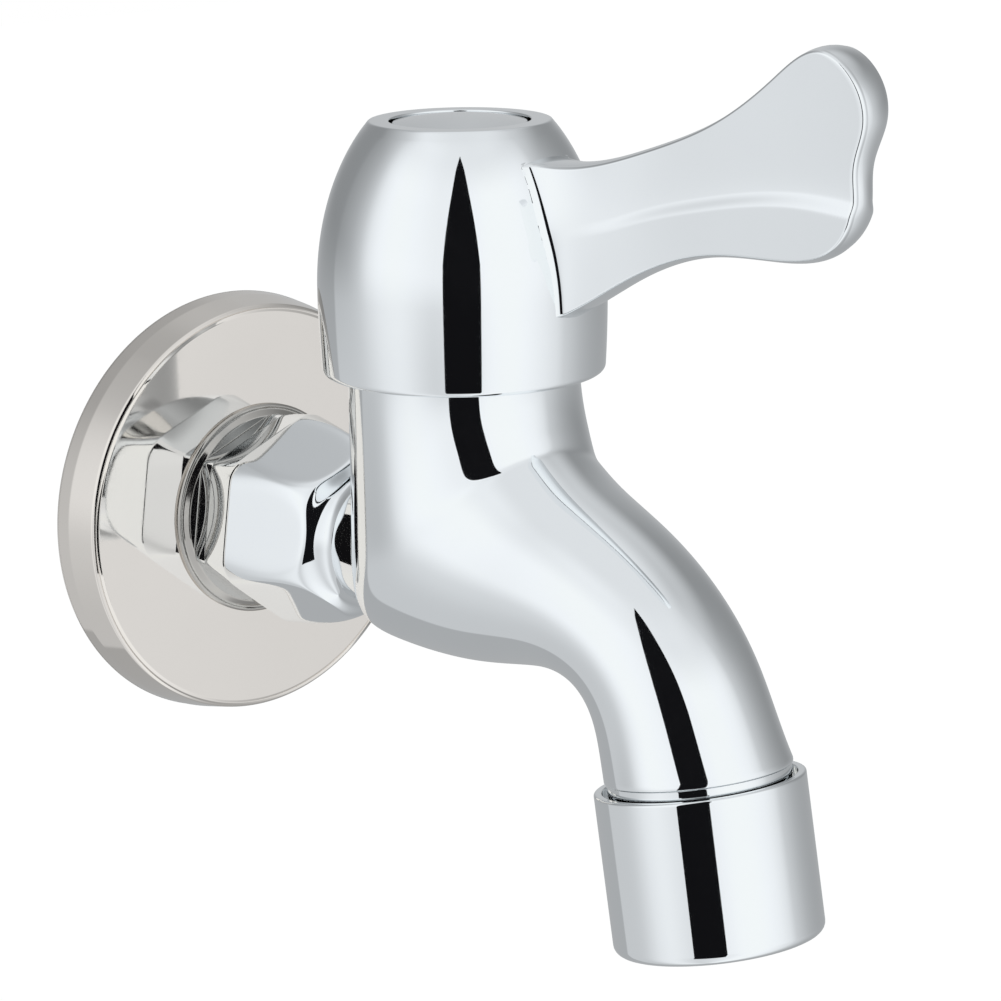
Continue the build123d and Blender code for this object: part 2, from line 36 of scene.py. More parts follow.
# The construction frame: the wall is the plane y = 0, the tap stands out towards -Y.
# Every shape is worked out in millimetres and put into the mesh in metres.
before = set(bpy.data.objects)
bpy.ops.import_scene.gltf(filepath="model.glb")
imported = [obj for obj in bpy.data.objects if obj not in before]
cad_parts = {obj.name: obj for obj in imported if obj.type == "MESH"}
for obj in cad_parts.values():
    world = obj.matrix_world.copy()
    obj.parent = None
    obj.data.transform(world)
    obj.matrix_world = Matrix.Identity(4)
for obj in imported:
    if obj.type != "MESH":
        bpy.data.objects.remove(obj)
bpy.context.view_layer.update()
MM = 0.001
FINISHED = {"FINISHED"}

# Sizes in millimetres, most of them the same as in the construction frame
FLANGE_RADIUS = 30.0
FLANGE_FACE_RADIUS = 28.4
FLANGE_DEPTH = 7.0
FLANGE_HOLE = 10.63
FLANGE_WEB_BACK = 6.1
RING_BACK = 7.02
RING_FRONT = 8.15
THREAD_RADIUS = 10.48
THREAD_DEPTH = 1.1
THREAD_BEHIND = 14.0
THREAD_BEFORE = 3.9
SHANK_RADIUS = 9.9
INLET_BORE = 6.5
INLET_BORE_END = 44.0
BOSS_FOOT = 8.2
BOSS_FOOT_BORE = 10.1
BOSS_FOOT_EDGE = 0.15
BOSS_BELT = 16.4
BOSS_END = 33.2
BOSS_TURN = math.radians(8.0)
BOSS_CORNER_POWER = 90
NECK_RADIUS = 9.0
NECK_SPREAD = 0.12
NECK_ROUNDING = 0.12
BARREL_OUT = 51.3
BARREL_RADIUS = 15.2
BARREL_TOP = 31.0
CHAMBER_RADIUS = 11.0
CHAMBER_STOP = 20.0
HUB_RADIUS = 18.86
HUB_FOOT_RADIUS = 18.5
HUB_BOTTOM = 26.3
HUB_BELT = 37.5
HUB_TOP = 59.1
HUB_FLAT_RADIUS = 11.8
HUB_WALL = 2.4
HUB_WEB = 51.1
SOCKET_BOSS_RADIUS = 7.4
SOCKET_BOSS_FOOT = 43.3
SOCKET_RADIUS = 4.05
SOCKET_HALF_WIDTH = 3.25
SCREW_HOLE = 2.25
SCREW_SEAT = 53.2
SCREW_POCKET = 4.8
BUTTON_RADIUS = 9.0
BUTTON_FLOOR = 56.5
BUTTON_PLAY = 0.15
BUTTON_INSET = 0.25
BUTTON_CROWN = 0.55
BUTTON_FALL = 0.9
NOZZLE_OUT = 94.94
NOZZLE_HEIGHT = -19.75
NOZZLE_TILT = math.radians(10.2)
SLEEVE_RADIUS = 13.37
SLEEVE_LENGTH = 20.5
SLEEVE_BORE = 11.6
SLEEVE_LIP_TOP = 18.9
SLEEVE_LIP_RADIUS = 9.6
SLEEVE_MOUTH = 1.3
SLEEVE_MOUTH_RADIUS = 12.3
SPOUT_END = 1.6
SPOUT_STEP = 1.15
SPOUT_RADIUS = 11.9
SPOUT_STEP_RADIUS = 11.65
NIPPLE_LENGTH = 8.0
WATERWAY_RADIUS = 8.4

# The flowing body: control rows of its guide, from under the handle to the spout's end.
# Each row is a front reach and height, a back reach and height, and a half width.
BODY_GUIDE = np.array([
    (15.2, 26.3, -15.2, 26.3, 15.2),
    (15.2, 23.1, -15.2, 23.1, 15.2),
    (16.7, 19.5, -14.5, 4.8, 15.8),
    (17.2, 18.0, -14.6, -10.2, 16.8),
    (18.0, 17.4, -7.7, -11.6, 16.5),
    (22.0, 14.8, 7.1, -12.1, 14.7),
    (31.2, 11.0, 20.4, -9.0, 12.9),
    (41.4, 4.7, 27.6, -10.1, 11.5),
    (49.7, -4.2, 30.2, -13.9, 11.1),
    (53.0, -12.4, 30.8, -17.2, 11.45),
    (55.07, -16.07, 31.65, -20.28, 11.9),
])

# The spanner boss: distance out from the wall and half the width across its flats
BOSS_FLATS = np.array([(8.2, 12.0), (10.4, 12.0), (16.4, 13.4), (33.2, 10.0)])

# The dome that rounds the boss off: distance out and radius, from the belt to the neck
BOSS_DOME = np.array([
    (16.4, 14.7), (22.6, 13.75), (26.5, 12.75), (28.6, 11.85), (29.6, 11.1), (30.2, 10.3),
    (30.7, 9.65), (31.3, 9.1), (32.2, 8.55), (33.2, 8.2),
])
BOSS_DOME_FOOT = 13.8

# The lever's turn about the barrel, in degrees from straight out
LEVER_TURN = 9.0

# The lever's side view: reach from the barrel's axis and height over the hub's belt
LEVER_OUTLINE = np.array([
    (11.8, 18.2), (18.0, 17.6), (25.1, 18.6), (31.3, 20.5), (40.4, 24.1), (50.4, 30.7),
    (57.8, 34.58), (63.1, 30.7), (64.1, 25.6), (62.6, 20.6), (62.5, 15.6), (59.3, 10.2),
    (49.4, 8.0), (40.3, 7.6), (34.3, 6.0), (28.1, 3.1), (23.3, 0.3), (16.3, -3.5),
])

# Cuts across the lever: reach, height of the valley line over the belt, half thickness there,
# slope of the face over the valley and under it, and the height of the step under it
LEVER_CUTS = np.array([
    (8, 7.0, 6.2, -0.14, 0.12, 0.0),
    (16, 8.9, 4.2, -0.12, 0.11, 0.0),
    (20, 10.0, 3.35, -0.05, 0.06, 0.03),
    (25, 11.2, 2.75, 0.02, 0.04, 0.14),
    (31, 13.1, 2.35, 0.045, 0.05, 0.3),
    (40, 15.3, 2.15, 0.06, 0.07, 0.45),
    (53, 17.05, 2.05, 0.07, 0.08, 0.55),
    (68, 15.6, 2.05, 0.08, 0.08, 0.6),
])

# The lever's face: softness of the valley over and under its line in square millimetres, and
# the width of the step. Its root: the fillet, how far that starts inside the bell, how much of
# its quarter round is used, and the height and reach of the soft flare round it.
VALLEY_SOFTNESS = 6.0
UNDER_SOFTNESS = 1.5
STEP_WIDTH = 1.9
LEVER_FILLET = 0.9
LEVER_FILLET_SUNK = 0.25
LEVER_FILLET_SHARE = 0.985
LEVER_FLARE = 0.4
LEVER_FLARE_REACH = 1.1
LEVER_ROOT_DEPTH = 0.7
LEVER_ROOT_REACH = 15.5

# The photograph's camera: place in millimetres, turn, tilt and roll in degrees, lens
CAMERA_PLACE = (-299.56, -397.2, 120.47)
CAMERA_ANGLES = (-41.462, 13.741, -0.806)
CAMERA_LENS = 128.54

# The studio tent: degrees round from the photographer's side, with the grey of the tent there
# low down, at the height of the tap and high up. Its cloth has a bright bank on either side.
PHOTOGRAPHER_SIDE = math.radians(-41.5)
TENT_SIDES = (
    (-180, 0.47, 0.57, 0.67), (-165, 0.44, 0.40, 0.57), (-148, 0.43, 0.27, 0.46),
    (-124, 0.60, 0.28, 0.46), (-118, 0.60, 0.32, 0.48), (-102, 0.60, 0.42, 0.53),
    (-90, 0.62, 0.58, 0.61), (-80, 0.70, 0.88, 0.76), (-68, 0.83, 1.0, 0.88),
    (-50, 0.93, 1.0, 0.92), (-32, 0.74, 0.97, 0.90), (-16, 0.66, 0.90, 0.86),
    (16, 0.97, 1.0, 0.84), (32, 1.0, 1.0, 0.84), (50, 1.0, 1.0, 0.84), (68, 0.88, 0.96, 0.78),
    (80, 0.80, 0.83, 0.72), (88, 0.68, 0.63, 0.67), (108, 0.48, 0.40, 0.55),
    (130, 0.40, 0.29, 0.59), (150, 0.40, 0.29, 0.63), (165, 0.42, 0.43, 0.67),
    (180, 0.43, 0.57, 0.67),
)
TENT_ROOF = 0.80
TABLE_GREY = 0.43
TENT_TINT = (0.98, 1.0, 1.02)

# Where one part of the tent goes over into the next: the table's edge in degrees round, and
# the three heights in degrees up from level
TABLE_EDGE = (-122.5, -119.5)
LOW_TO_MIDDLE = (-18.0, 4.0)
MIDDLE_TO_HIGH = (32.0, 54.0)
HIGH_TO_ROOF = (56.0, 74.0)

# The dark opening that the photograph was taken through: its distance from the barrel, and
# its outline as height and half width, in millimetres
OPENING_REACH = 176.0
OPENING = np.array([
    (-95, 44), (62, 44), (97, 39), (130, 33), (172, 25), (235, 15), (298, 0),
])
OPENING_DARK = (0.006, 0.006, 0.007)

# The floor: height and half width in millimetres, grey, roughness, and the glow that the
# camera alone sees on it, as a share of what it sees and as a strength
FLOOR_HEIGHT = -120.0
FLOOR_HALF = 1500.0
FLOOR_GREY = 0.85
FLOOR_ROUGHNESS = 0.9
FLOOR_GLOW_SHARE = 0.8
FLOOR_GLOW = 1.12
SENSOR_WIDTH = 36.0


# Curves

def natural_spline(x, y, at):
    """The smooth curve through (x, y): cubic pieces with equal slope and bend where they meet."""
    x = np.asarray(x, float)
    y = np.asarray(y, float).reshape(len(x), -1)
    h = np.diff(x)
    matrix = np.eye(len(x))
    right = np.zeros_like(y)
    inner = np.arange(1, len(x) - 1)
    matrix[inner, inner - 1] = h[:-1]
    matrix[inner, inner] = 2 * (h[:-1] + h[1:])
    matrix[inner, inner + 1] = h[1:]
    slope = np.diff(y, axis=0) / h[:, None]
    right[inner] = 6 * (slope[1:] - slope[:-1])
    bend = np.linalg.solve(matrix, right)
    at = np.asarray(at, float)
    i = np.clip(np.searchsorted(x, at, side="right") - 1, 0, len(x) - 2)
    a = (x[i + 1] - at)[..., None]
    b = (at - x[i])[..., None]
    step = h[i][..., None]
    cubic = (bend[i] * a**3 + bend[i + 1] * b**3) / (6 * step)
    line = (y[i] / step - bend[i] * step / 6) * a + (y[i + 1] / step - bend[i + 1] * step / 6) * b
    return cubic + line


def run_lengths(points):
    """Length along a run of points, from its start to each of them."""
    return np.concatenate([[0], np.cumsum(np.linalg.norm(np.diff(points, axis=0), axis=1))])


def curve_through(points, count):
    """Evenly spaced points on the smooth curve through the given ones, by length along it."""
    points = np.asarray(points, float)
    chord = run_lengths(points)
    dense = natural_spline(chord, points, np.linspace(0, chord[-1], 40 * len(points)))
    return evenly(dense, count)


def evenly(points, count, bunched=0.0):
    """The same run of points, cut into equal lengths, or into shorter ones at its start."""
    run = run_lengths(points)
    share = np.linspace(0, 1, count)
    at = run[-1] * ((1 - bunched) * share + bunched * share**2)
    return np.stack([np.interp(at, run, points[:, k]) for k in range(points.shape[1])], axis=1)


def guide_curve(rows, t):
    """
    Clamped cubic B-spline of the control rows at t from 0 to 1: each point is a mean of four
    rows, weighted by the usual recursion from degree nought to degree three.
    """
    rows = np.asarray(rows, float)
    count = len(rows)
    spans = count - 3
    knots = np.concatenate([np.zeros(3), np.arange(spans + 1), np.full(3, spans)]).astype(float)
    u = np.clip(np.asarray(t, float), 0, 1 - 1e-9)[..., None] * spans
    weight = ((u >= knots[:-1]) & (u < knots[1:])).astype(float)
    for degree in (1, 2, 3):
        here = knots[: -degree - 1]
        ahead = knots[degree:-1]
        left = np.where(ahead > here, (u - here) / np.where(ahead > here, ahead - here, 1), 0)
        here = knots[1:-degree]
        ahead = knots[degree + 1 :]
        right = np.where(ahead > here, (ahead - u) / np.where(ahead > here, ahead - here, 1), 0)
        weight = left[..., : weight.shape[-1] - 1] * weight[..., :-1] + right * weight[..., 1:]
    return weight @ rows


def rounded(corners, steps=6, spacing=1.6, support=0.12):
    """
    A profile from (x, y, corner radius) rows. Each corner becomes an arc of the radius given,
    and each straight run is cut into short lengths with a cut close to either end.
    """
    corners = np.asarray(corners, float)
    path = [corners[0, :2]]
    for before, here, after in zip(corners, corners[1:], corners[2:]):
        point, radius = here[:2], here[2]
        back = (before[:2] - point) / np.linalg.norm(before[:2] - point)
        ahead = (after[:2] - point) / np.linalg.norm(after[:2] - point)
        if radius == 0:
            path.append(point)
            continue
        half = math.acos(np.clip(back @ ahead, -1, 1)) / 2
        run = radius / math.tan(half)
        centre = point + (back + ahead) / np.linalg.norm(back + ahead) * radius / math.sin(half)
        start, end = point + back * run - centre, point + ahead * run - centre
        turn = math.pi - 2 * half
        share = np.linspace(0, 1, steps + 1)[:, None]
        arc = (np.sin((1 - share) * turn) * start + np.sin(share * turn) * end) / math.sin(turn)
        path.extend(centre + arc)
    path.append(corners[-1, :2])
    path = np.array(path)
    result = [path[:1]]
    for a, b in zip(path, path[1:]):
        length = np.linalg.norm(b - a)
        if length < 1e-9:
            continue
        cuts = np.linspace(0, 1, max(1, int(length / spacing)) + 1)
        if length > 3 * support:
            cuts = np.unique(np.concatenate([cuts, [support / length, 1 - support / length]]))
        result.append(a + (b - a) * cuts[1:, None])
    return np.concatenate(result)


# Meshes

def grid_faces(rows, columns, offset, wrap_rows=False, wrap_columns=False):
    """Four corner numbers for each cell of a grid, counted from the offset."""
    r = np.arange(rows if wrap_rows else rows - 1)
    c = np.arange(columns if wrap_columns else columns - 1)
    r, c = np.meshgrid(r, c, indexing="ij")
    r_next, c_next = (r + 1) % rows, (c + 1) % columns
    cell = [r * columns + c, r_next * columns + c, r_next * columns + c_next, r * columns + c_next]
    return np.stack(cell, axis=-1).reshape(-1, 4) + offset


def piece(name, sheets, body, slot, material, node=None, sharp=40):
    """
    One object from grids of points in millimetres, which may stand for a node of the frame. A
    sheet is (points, wraps in rows, wraps in columns, turned over). Points that meet are
    joined, which closes the seams and poles.
    """
    points, quads, total = [], [], 0
    for grid, wrap_rows, wrap_columns, turned in sheets:
        cells = grid_faces(*grid.shape[:2], total, wrap_rows, wrap_columns)
        quads.append(cells[:, ::-1] if turned else cells)
        points.append(grid.reshape(-1, 3))
        total += grid.shape[0] * grid.shape[1]
    points, quads = np.concatenate(points), np.concatenate(quads)
    keys, first, number = np.unique(np.round(points, 4), axis=0, return_index=True, return_inverse=True)
    quads = number.reshape(-1)[quads]
    same = quads == np.roll(quads, -1, axis=1)
    count = same.sum(axis=1)
    whole = quads[count == 0]
    whole = whole[(whole[:, 0] != whole[:, 2]) & (whole[:, 1] != whole[:, 3])]
    threes = quads[count == 1][~same[count == 1]].reshape(-1, 3)
    mesh = bpy.data.meshes.new(name)
    mesh.from_pydata((points[first] * MM).tolist(), [], whole.tolist() + threes.tolist())
    mesh.update()
    mesh.polygons.foreach_set("use_smooth", np.ones(len(mesh.polygons), bool))
    mesh.set_sharp_from_angle(angle=math.radians(sharp))
    obj = bpy.data.objects.new(name, mesh)
    bpy.context.scene.collection.objects.link(obj)
    mesh.materials.append(material)
    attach(obj, body)
    if node:
        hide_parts(node)


def turned(profile, place, count=192):
    """A profile of (radius, height) rows carried round an axis, which place puts in the frame."""
    angle = np.linspace(0, 2 * math.pi, count, endpoint=False)
    radius, height = profile[:, 0, None], profile[:, 1, None]
    grid = np.stack([radius * np.cos(angle), radius * np.sin(angle), height + 0 * angle], axis=-1)
    return place(grid)


def turned_piece(name, profile, place, count, closed, *finish):
    """One object from a profile carried round an axis. A closed profile ends where it starts."""
    grid = turned(profile[:-1] if closed else profile, place, count)
    piece(name, [(grid, closed, True, False)], *finish)


def about_barrel(grid):
    """The barrel's axis is upright, out from the wall."""
    return grid + (0, -BARREL_OUT, 0)


def about_inlet(grid):
    """The inlet's axis lies along -Y: height over the wall becomes distance out."""
    x, y, z = grid[..., 0], grid[..., 1], grid[..., 2]
    return np.stack([x, -z, y], axis=-1)


def round_inlet(radius, out, turn):
    """Points round the inlet's axis, from their radius, distance out and turn from +X."""
    return np.stack([radius * np.cos(turn), 0 * turn - out, radius * np.sin(turn)], axis=-1)


def about_nozzle(grid):
    """The nozzle's axis leans towards the wall at its top, by the tilt about X."""
    x, y, z = grid[..., 0], grid[..., 1], grid[..., 2]
    c, s = math.cos(NOZZLE_TILT), math.sin(NOZZLE_TILT)
    return np.stack([x, y * c + z * s - NOZZLE_OUT, -y * s + z * c + NOZZLE_HEIGHT], axis=-1)


# Shapes

def body_section(rows, angle):
    """
    Points of the body's oval sections. A section is centred between its front and back points:
    centre plus half their difference times the cosine, plus the half width times the sine in X.
    """
    front, back, half = rows[..., 0:2], rows[..., 2:4], rows[..., 4]
    middle, across = (front + back) / 2, (front - back) / 2
    out = middle[..., 0] + across[..., 0] * np.cos(angle)
    height = middle[..., 1] + across[..., 1] * np.cos(angle)
    return np.stack([half * np.sin(angle), -BARREL_OUT - out, height], axis=-1)


def body_point(t, angle):
    """A point of the flowing body at t along its guide and the angle round its section."""
    return body_section(guide_curve(BODY_GUIDE, t), angle)


def body_outward(t, angle):
    """The unit normal of the flowing body, square to its two directions of travel."""
    step = 1e-4
    along = body_point(t + step, angle) - body_point(t - step, angle)
    around = body_point(t, angle + step) - body_point(t, angle - step)
    normal = np.cross(along, around)
    return normal / np.linalg.norm(normal, axis=-1, keepdims=True)


def nozzle_rows(profile):
    """Section rows, as the body's guide has them, for (height, radius) rings about the nozzle."""
    height, radius = np.asarray(profile, float).T
    c, s = math.cos(NOZZLE_TILT), math.sin(NOZZLE_TILT)
    reach = NOZZLE_OUT - BARREL_OUT - height * s
    level = NOZZLE_HEIGHT + height * c
    return np.stack([
        reach + radius * c, level + radius * s, reach - radius * c, level - radius * s, radius,
    ], axis=1)


def neck_fillet(radius, count, steps):
    """
    The fillet between the neck and the body, as a ball of the given radius rolls round the
    corner. Its centre is at neck radius plus ball radius from the inlet's axis, and at the
    ball's radius along the body's normal. The pair (guide position, section angle) of each
    touching point is found by Newton's steps from the nearest point of a coarse grid.
    """
    turn = np.linspace(0, 2 * math.pi, count, endpoint=False)
    away = NECK_RADIUS + radius
    goal = np.stack([away * np.cos(turn), away * np.sin(turn)], axis=-1)

    def miss(t, a):
        centre = body_point(t, a) + radius * body_outward(t, a)
        return centre[..., [0, 2]] - goal

    t_all, a_all = np.meshgrid(np.linspace(0.02, 0.6, 160), np.linspace(0.55, 1.45, 120) * math.pi)
    t_all, a_all = t_all.ravel(), a_all.ravel()
    coarse = body_point(t_all, a_all) + radius * body_outward(t_all, a_all)
    near_wall = coarse[:, 1] > -BARREL_OUT
    t_all, a_all, coarse = t_all[near_wall], a_all[near_wall], coarse[near_wall]
    gap = np.linalg.norm(coarse[None, :, [0, 2]] - goal[:, None, :], axis=-1)
    best = gap.argmin(axis=1)
    t, a = t_all[best], a_all[best]
    step = 1e-4
    for _ in range(12):
        here = miss(t, a)
        by_t = (miss(t + step, a) - here) / step
        by_a = (miss(t, a + step) - here) / step
        det = by_t[:, 0] * by_a[:, 1] - by_t[:, 1] * by_a[:, 0]
        move_t = (here[:, 0] * by_a[:, 1] - here[:, 1] * by_a[:, 0]) / det
        move_a = (by_t[:, 0] * here[:, 1] - by_t[:, 1] * here[:, 0]) / det
        t = np.clip(t - np.clip(move_t, -0.05, 0.05), 0.01, 0.9)
        a = a - np.clip(move_a, -0.2, 0.2)
    if np.abs(miss(t, a)).max() > 0.02:
        raise RuntimeError("the ball of the neck's fillet found no place on the body")
    normal = body_outward(t, a)
    centre = body_point(t, a) + radius * normal
    inward = np.stack([-np.cos(turn), 0 * turn, -np.sin(turn)], axis=-1)
    corner = np.arccos(np.clip((inward * -normal).sum(axis=1), -1, 1))[:, None]
    share = np.linspace(0, 1, steps + 1)[:, None, None]
    arc = (np.sin((1 - share) * corner) * inward - np.sin(share * corner) * normal) / np.sin(corner)
    rows = centre + radius * arc
    tucked = body_point(t, a) - 0.6 * normal
    return turn, np.concatenate([rows, tucked[None]])


def hexagon_reach(turn, apothem):
    """
    Distance from the axis to a hexagon with softened corners, turned a little from +X:
    one over the high-power mean of the six flats' closeness.
    """
    flats = np.arange(6) * math.pi / 3 - BOSS_TURN
    close = np.maximum(np.cos(turn[..., None] - flats), 0) / apothem[..., None]
    return 1 / (close**BOSS_CORNER_POWER).sum(axis=-1) ** (1 / BOSS_CORNER_POWER)


def soft_least(a, b, width):
    """The lesser of two values, with the crossing rounded over the width given."""
    low = np.minimum(a, b)
    return low - width * np.log(np.exp((low - a) / width) + np.exp((low - b) / width))


def boss_reach(turn, out, round_edge, waist):
    """
    Radius of the spanner boss and neck: the lesser of a hexagon, whose flats run through the
    rows of BOSS_FLATS, and a dome, whose profile is a line to the belt and a smooth curve down
    to the neck. The result never falls under the neck's waist.
    """
    hexagon = hexagon_reach(turn, np.interp(out, *BOSS_FLATS.T))
    curve = natural_spline(*BOSS_DOME.T, np.clip(out, BOSS_BELT, BOSS_END))[..., 0]
    rise = BOSS_DOME[0, 1] - BOSS_DOME_FOOT
    foot = BOSS_DOME_FOOT + rise * (out - BOSS_FOOT) / (BOSS_BELT - BOSS_FOOT)
    dome = np.where(out < BOSS_BELT, foot, curve)
    reach = soft_least(hexagon, dome, round_edge)
    return -soft_least(-reach, -waist + 0 * reach, NECK_ROUNDING)


def thread_reach(turn, out, pitch, depth):
    """Radius of the inlet's thread: the crest less half the depth times one minus the cosine of
    the helix phase, with the first turn chamfered."""
    phase = 2 * math.pi * out / pitch - turn
    ridge = THREAD_RADIUS - depth * (0.5 - 0.5 * np.cos(phase)) ** 0.8
    chamfer = THREAD_RADIUS - 0.2 - np.maximum(1.6 - (THREAD_BEHIND + out), 0)
    return np.minimum(ridge, chamfer)


def lever_half(reach, height):
    """
    Half thickness of the lever at a point of its side view. Over the valley line the face
    rises with the root of the squared distance, so it is softly dished. Under the line it
    steps up and then falls away again. Next to the hub a quarter round of the fillet's radius
    is added, by the distance left to the hub's bell, and a soft flare that dies out from there.
    The round starts a little inside the bell, so that the two meet in a clean crease.
    """
    cuts = natural_spline(LEVER_CUTS[:, 0], LEVER_CUTS[:, 1:], np.clip(reach, 8, 68))
    valley, thin, above, below, step = np.moveaxis(cuts, -1, 0)
    rise = height - valley
    up = np.sqrt(np.maximum(rise, 0) ** 2 + VALLEY_SOFTNESS) - math.sqrt(VALLEY_SOFTNESS)
    down = np.maximum(-rise, 0)
    shoulder = np.clip(down / STEP_WIDTH, 0, 1)
    shoulder = shoulder**2 * (3 - 2 * shoulder)
    fall = np.sqrt(down**2 + UNDER_SOFTNESS) - math.sqrt(UNDER_SOFTNESS)
    half = thin + above * up + step * shoulder - below * fall
    gap = np.hypot(reach, half) - hub_reach(height + HUB_BELT)
    run = np.clip(gap + LEVER_FILLET_SUNK, 0, LEVER_FILLET) / LEVER_FILLET
    near = LEVER_FILLET_SHARE * (1 - run)
    flare = LEVER_FLARE * np.exp(-np.maximum(gap, 0) / LEVER_FLARE_REACH)
    return half + flare + LEVER_FILLET * (1 - np.sqrt(1 - near**2))


def hub_reach(height):
    """Radius of the hub's bell: an upright quarter oval over the belt, nearly straight below it."""
    bell_angle = math.acos(HUB_FLAT_RADIUS / HUB_RADIUS)
    tall = (HUB_TOP - HUB_BELT) / math.sin(bell_angle)
    above = HUB_RADIUS * np.sqrt(np.maximum(1 - (np.maximum(height - HUB_BELT, 0) / tall) ** 2, 0))
    drop = np.maximum(HUB_BELT - height, 0) / (HUB_BELT - HUB_BOTTOM)
    return above - (HUB_RADIUS - HUB_FOOT_RADIUS) * drop**2


def filled(first_row, last_row, first_column, last_column):
    """
    A grid that fills four sides: ruled between the rows, plus ruled between the columns,
    less the plain slab through the four corners.
    """
    a = np.linspace(0, 1, len(first_column))[:, None, None]
    b = np.linspace(0, 1, len(first_row))[None, :, None]
    ruled = (1 - a) * first_row[None] + a * last_row[None]
    crossed = (1 - b) * first_column[:, None] + b * last_column[:, None]
    corners = (1 - a) * ((1 - b) * first_row[0] + b * first_row[-1])
    corners = corners + a * ((1 - b) * last_row[0] + b * last_row[-1])
    return ruled + crossed - corners


def lever_sheets(turn_degrees, edge, bulge=0.3, along=150, tall=150, thick=14, steps=6):
    """
    The lever from its side view. The outline is the smooth curve through its points, from the
    root over the top, down the end and back under. Each face fills the outline, drawn in by
    the edge radius, as a mean of its four sides (ruled one way plus ruled the other, less the
    corners' plane), and is lifted by half the thickness. The rim is a strip: quarter arc,
    slightly bulging band, quarter arc.
    """
    outline = curve_through(LEVER_OUTLINE, 1600)
    outline[:, 1] += HUB_BELT
    tangent = np.gradient(outline, axis=0)
    tangent /= np.linalg.norm(tangent, axis=1, keepdims=True)
    normal = np.stack([-tangent[:, 1], tangent[:, 0]], axis=1)

    def root_at(height):
        half = lever_half(LEVER_ROOT_REACH + 0 * height, height - HUB_BELT)
        inner = hub_reach(height) - LEVER_ROOT_DEPTH
        return np.sqrt(np.maximum(inner**2 - half**2, 0))

    inside = outline[:, 0] < root_at(outline[:, 1])
    middle = len(outline) // 2
    start = np.nonzero(inside[:middle])[0].max() + 1
    stop = middle + np.nonzero(inside[middle:])[0].min()
    top = int(np.argmax(outline[:, 1]))
    below = middle + int(np.argmax(outline[middle:, 0] - 0.9 * (outline[middle:, 1] - HUB_BELT)))
    both = np.concatenate([outline, normal], axis=1)
    upper = evenly(both[start : top + 1], along, 0.85)
    end = evenly(both[top : below + 1], tall)
    lower = evenly(both[below:stop][::-1], along, 0.85)[::-1]

    def drawn_in(run):
        return run[:, :2] - edge * run[:, 2:]

    u, e, w = drawn_in(upper), drawn_in(end), drawn_in(lower)[::-1]
    share = np.linspace(0, 1, tall)
    height = u[0, 1] + (w[0, 1] - u[0, 1]) * share
    r = np.stack([root_at(height), height], axis=1)
    r += (1 - share)[:, None] * (u[0] - r[0]) + share[:, None] * (w[0] - r[-1])
    face = filled(r, e, u, w)
    half = lever_half(face[..., 0], face[..., 1] - HUB_BELT)
    near = np.stack([face[..., 0], half, face[..., 1]], axis=-1)
    far = near * (1, -1, 1)

    rim = np.concatenate([upper, end[1:], lower[1:]])
    inset = rim[:, :2] - edge * rim[:, 2:]
    level = lever_half(inset[:, 0], inset[:, 1] - HUB_BELT)
    ahead = inset + 0.05 * rim[:, 2:]
    slope = (lever_half(ahead[:, 0], ahead[:, 1] - HUB_BELT) - level) / 0.05
    arc = np.linspace(0, math.pi / 2, steps + 1)[:, None]
    out = (edge - bulge) * np.sin(arc) + 0 * level
    rise = level + slope * edge * np.sin(arc) - edge * (1 - np.cos(arc))
    flat = np.linspace(0, 1, thick)[1:-1, None]
    flat = np.concatenate([[[0.03]], flat, [[0.97]]])
    out = np.concatenate([out, edge - bulge * (1 - 2 * flat) ** 2 + 0 * level, out[::-1]])
    rise = np.concatenate([rise, rise[-1] * (1 - 2 * flat), -rise[steps::-1]])
    strip = np.stack([
        inset[:, 0] + out * rim[:, 2],
        rise,
        inset[:, 1] + out * rim[:, 3],
    ], axis=-1)
    cap = filled(near[0], far[0], strip[:, 0], strip[:, -1])

    c, s = math.cos(math.radians(turn_degrees)), math.sin(math.radians(turn_degrees))

    def place(grid):
        reach, side, up = grid[..., 0], grid[..., 1], grid[..., 2]
        x = reach * s + side * c
        y = -reach * c + side * s
        return np.stack([x, y - BARREL_OUT, up], axis=-1)

    near, far, strip, cap = place(near), place(far), place(strip), place(cap)
    return [
        (near, False, False, False),
        (far, False, False, True),
        (strip, False, False, False),
        (cap, False, False, True),
    ]


# Materials

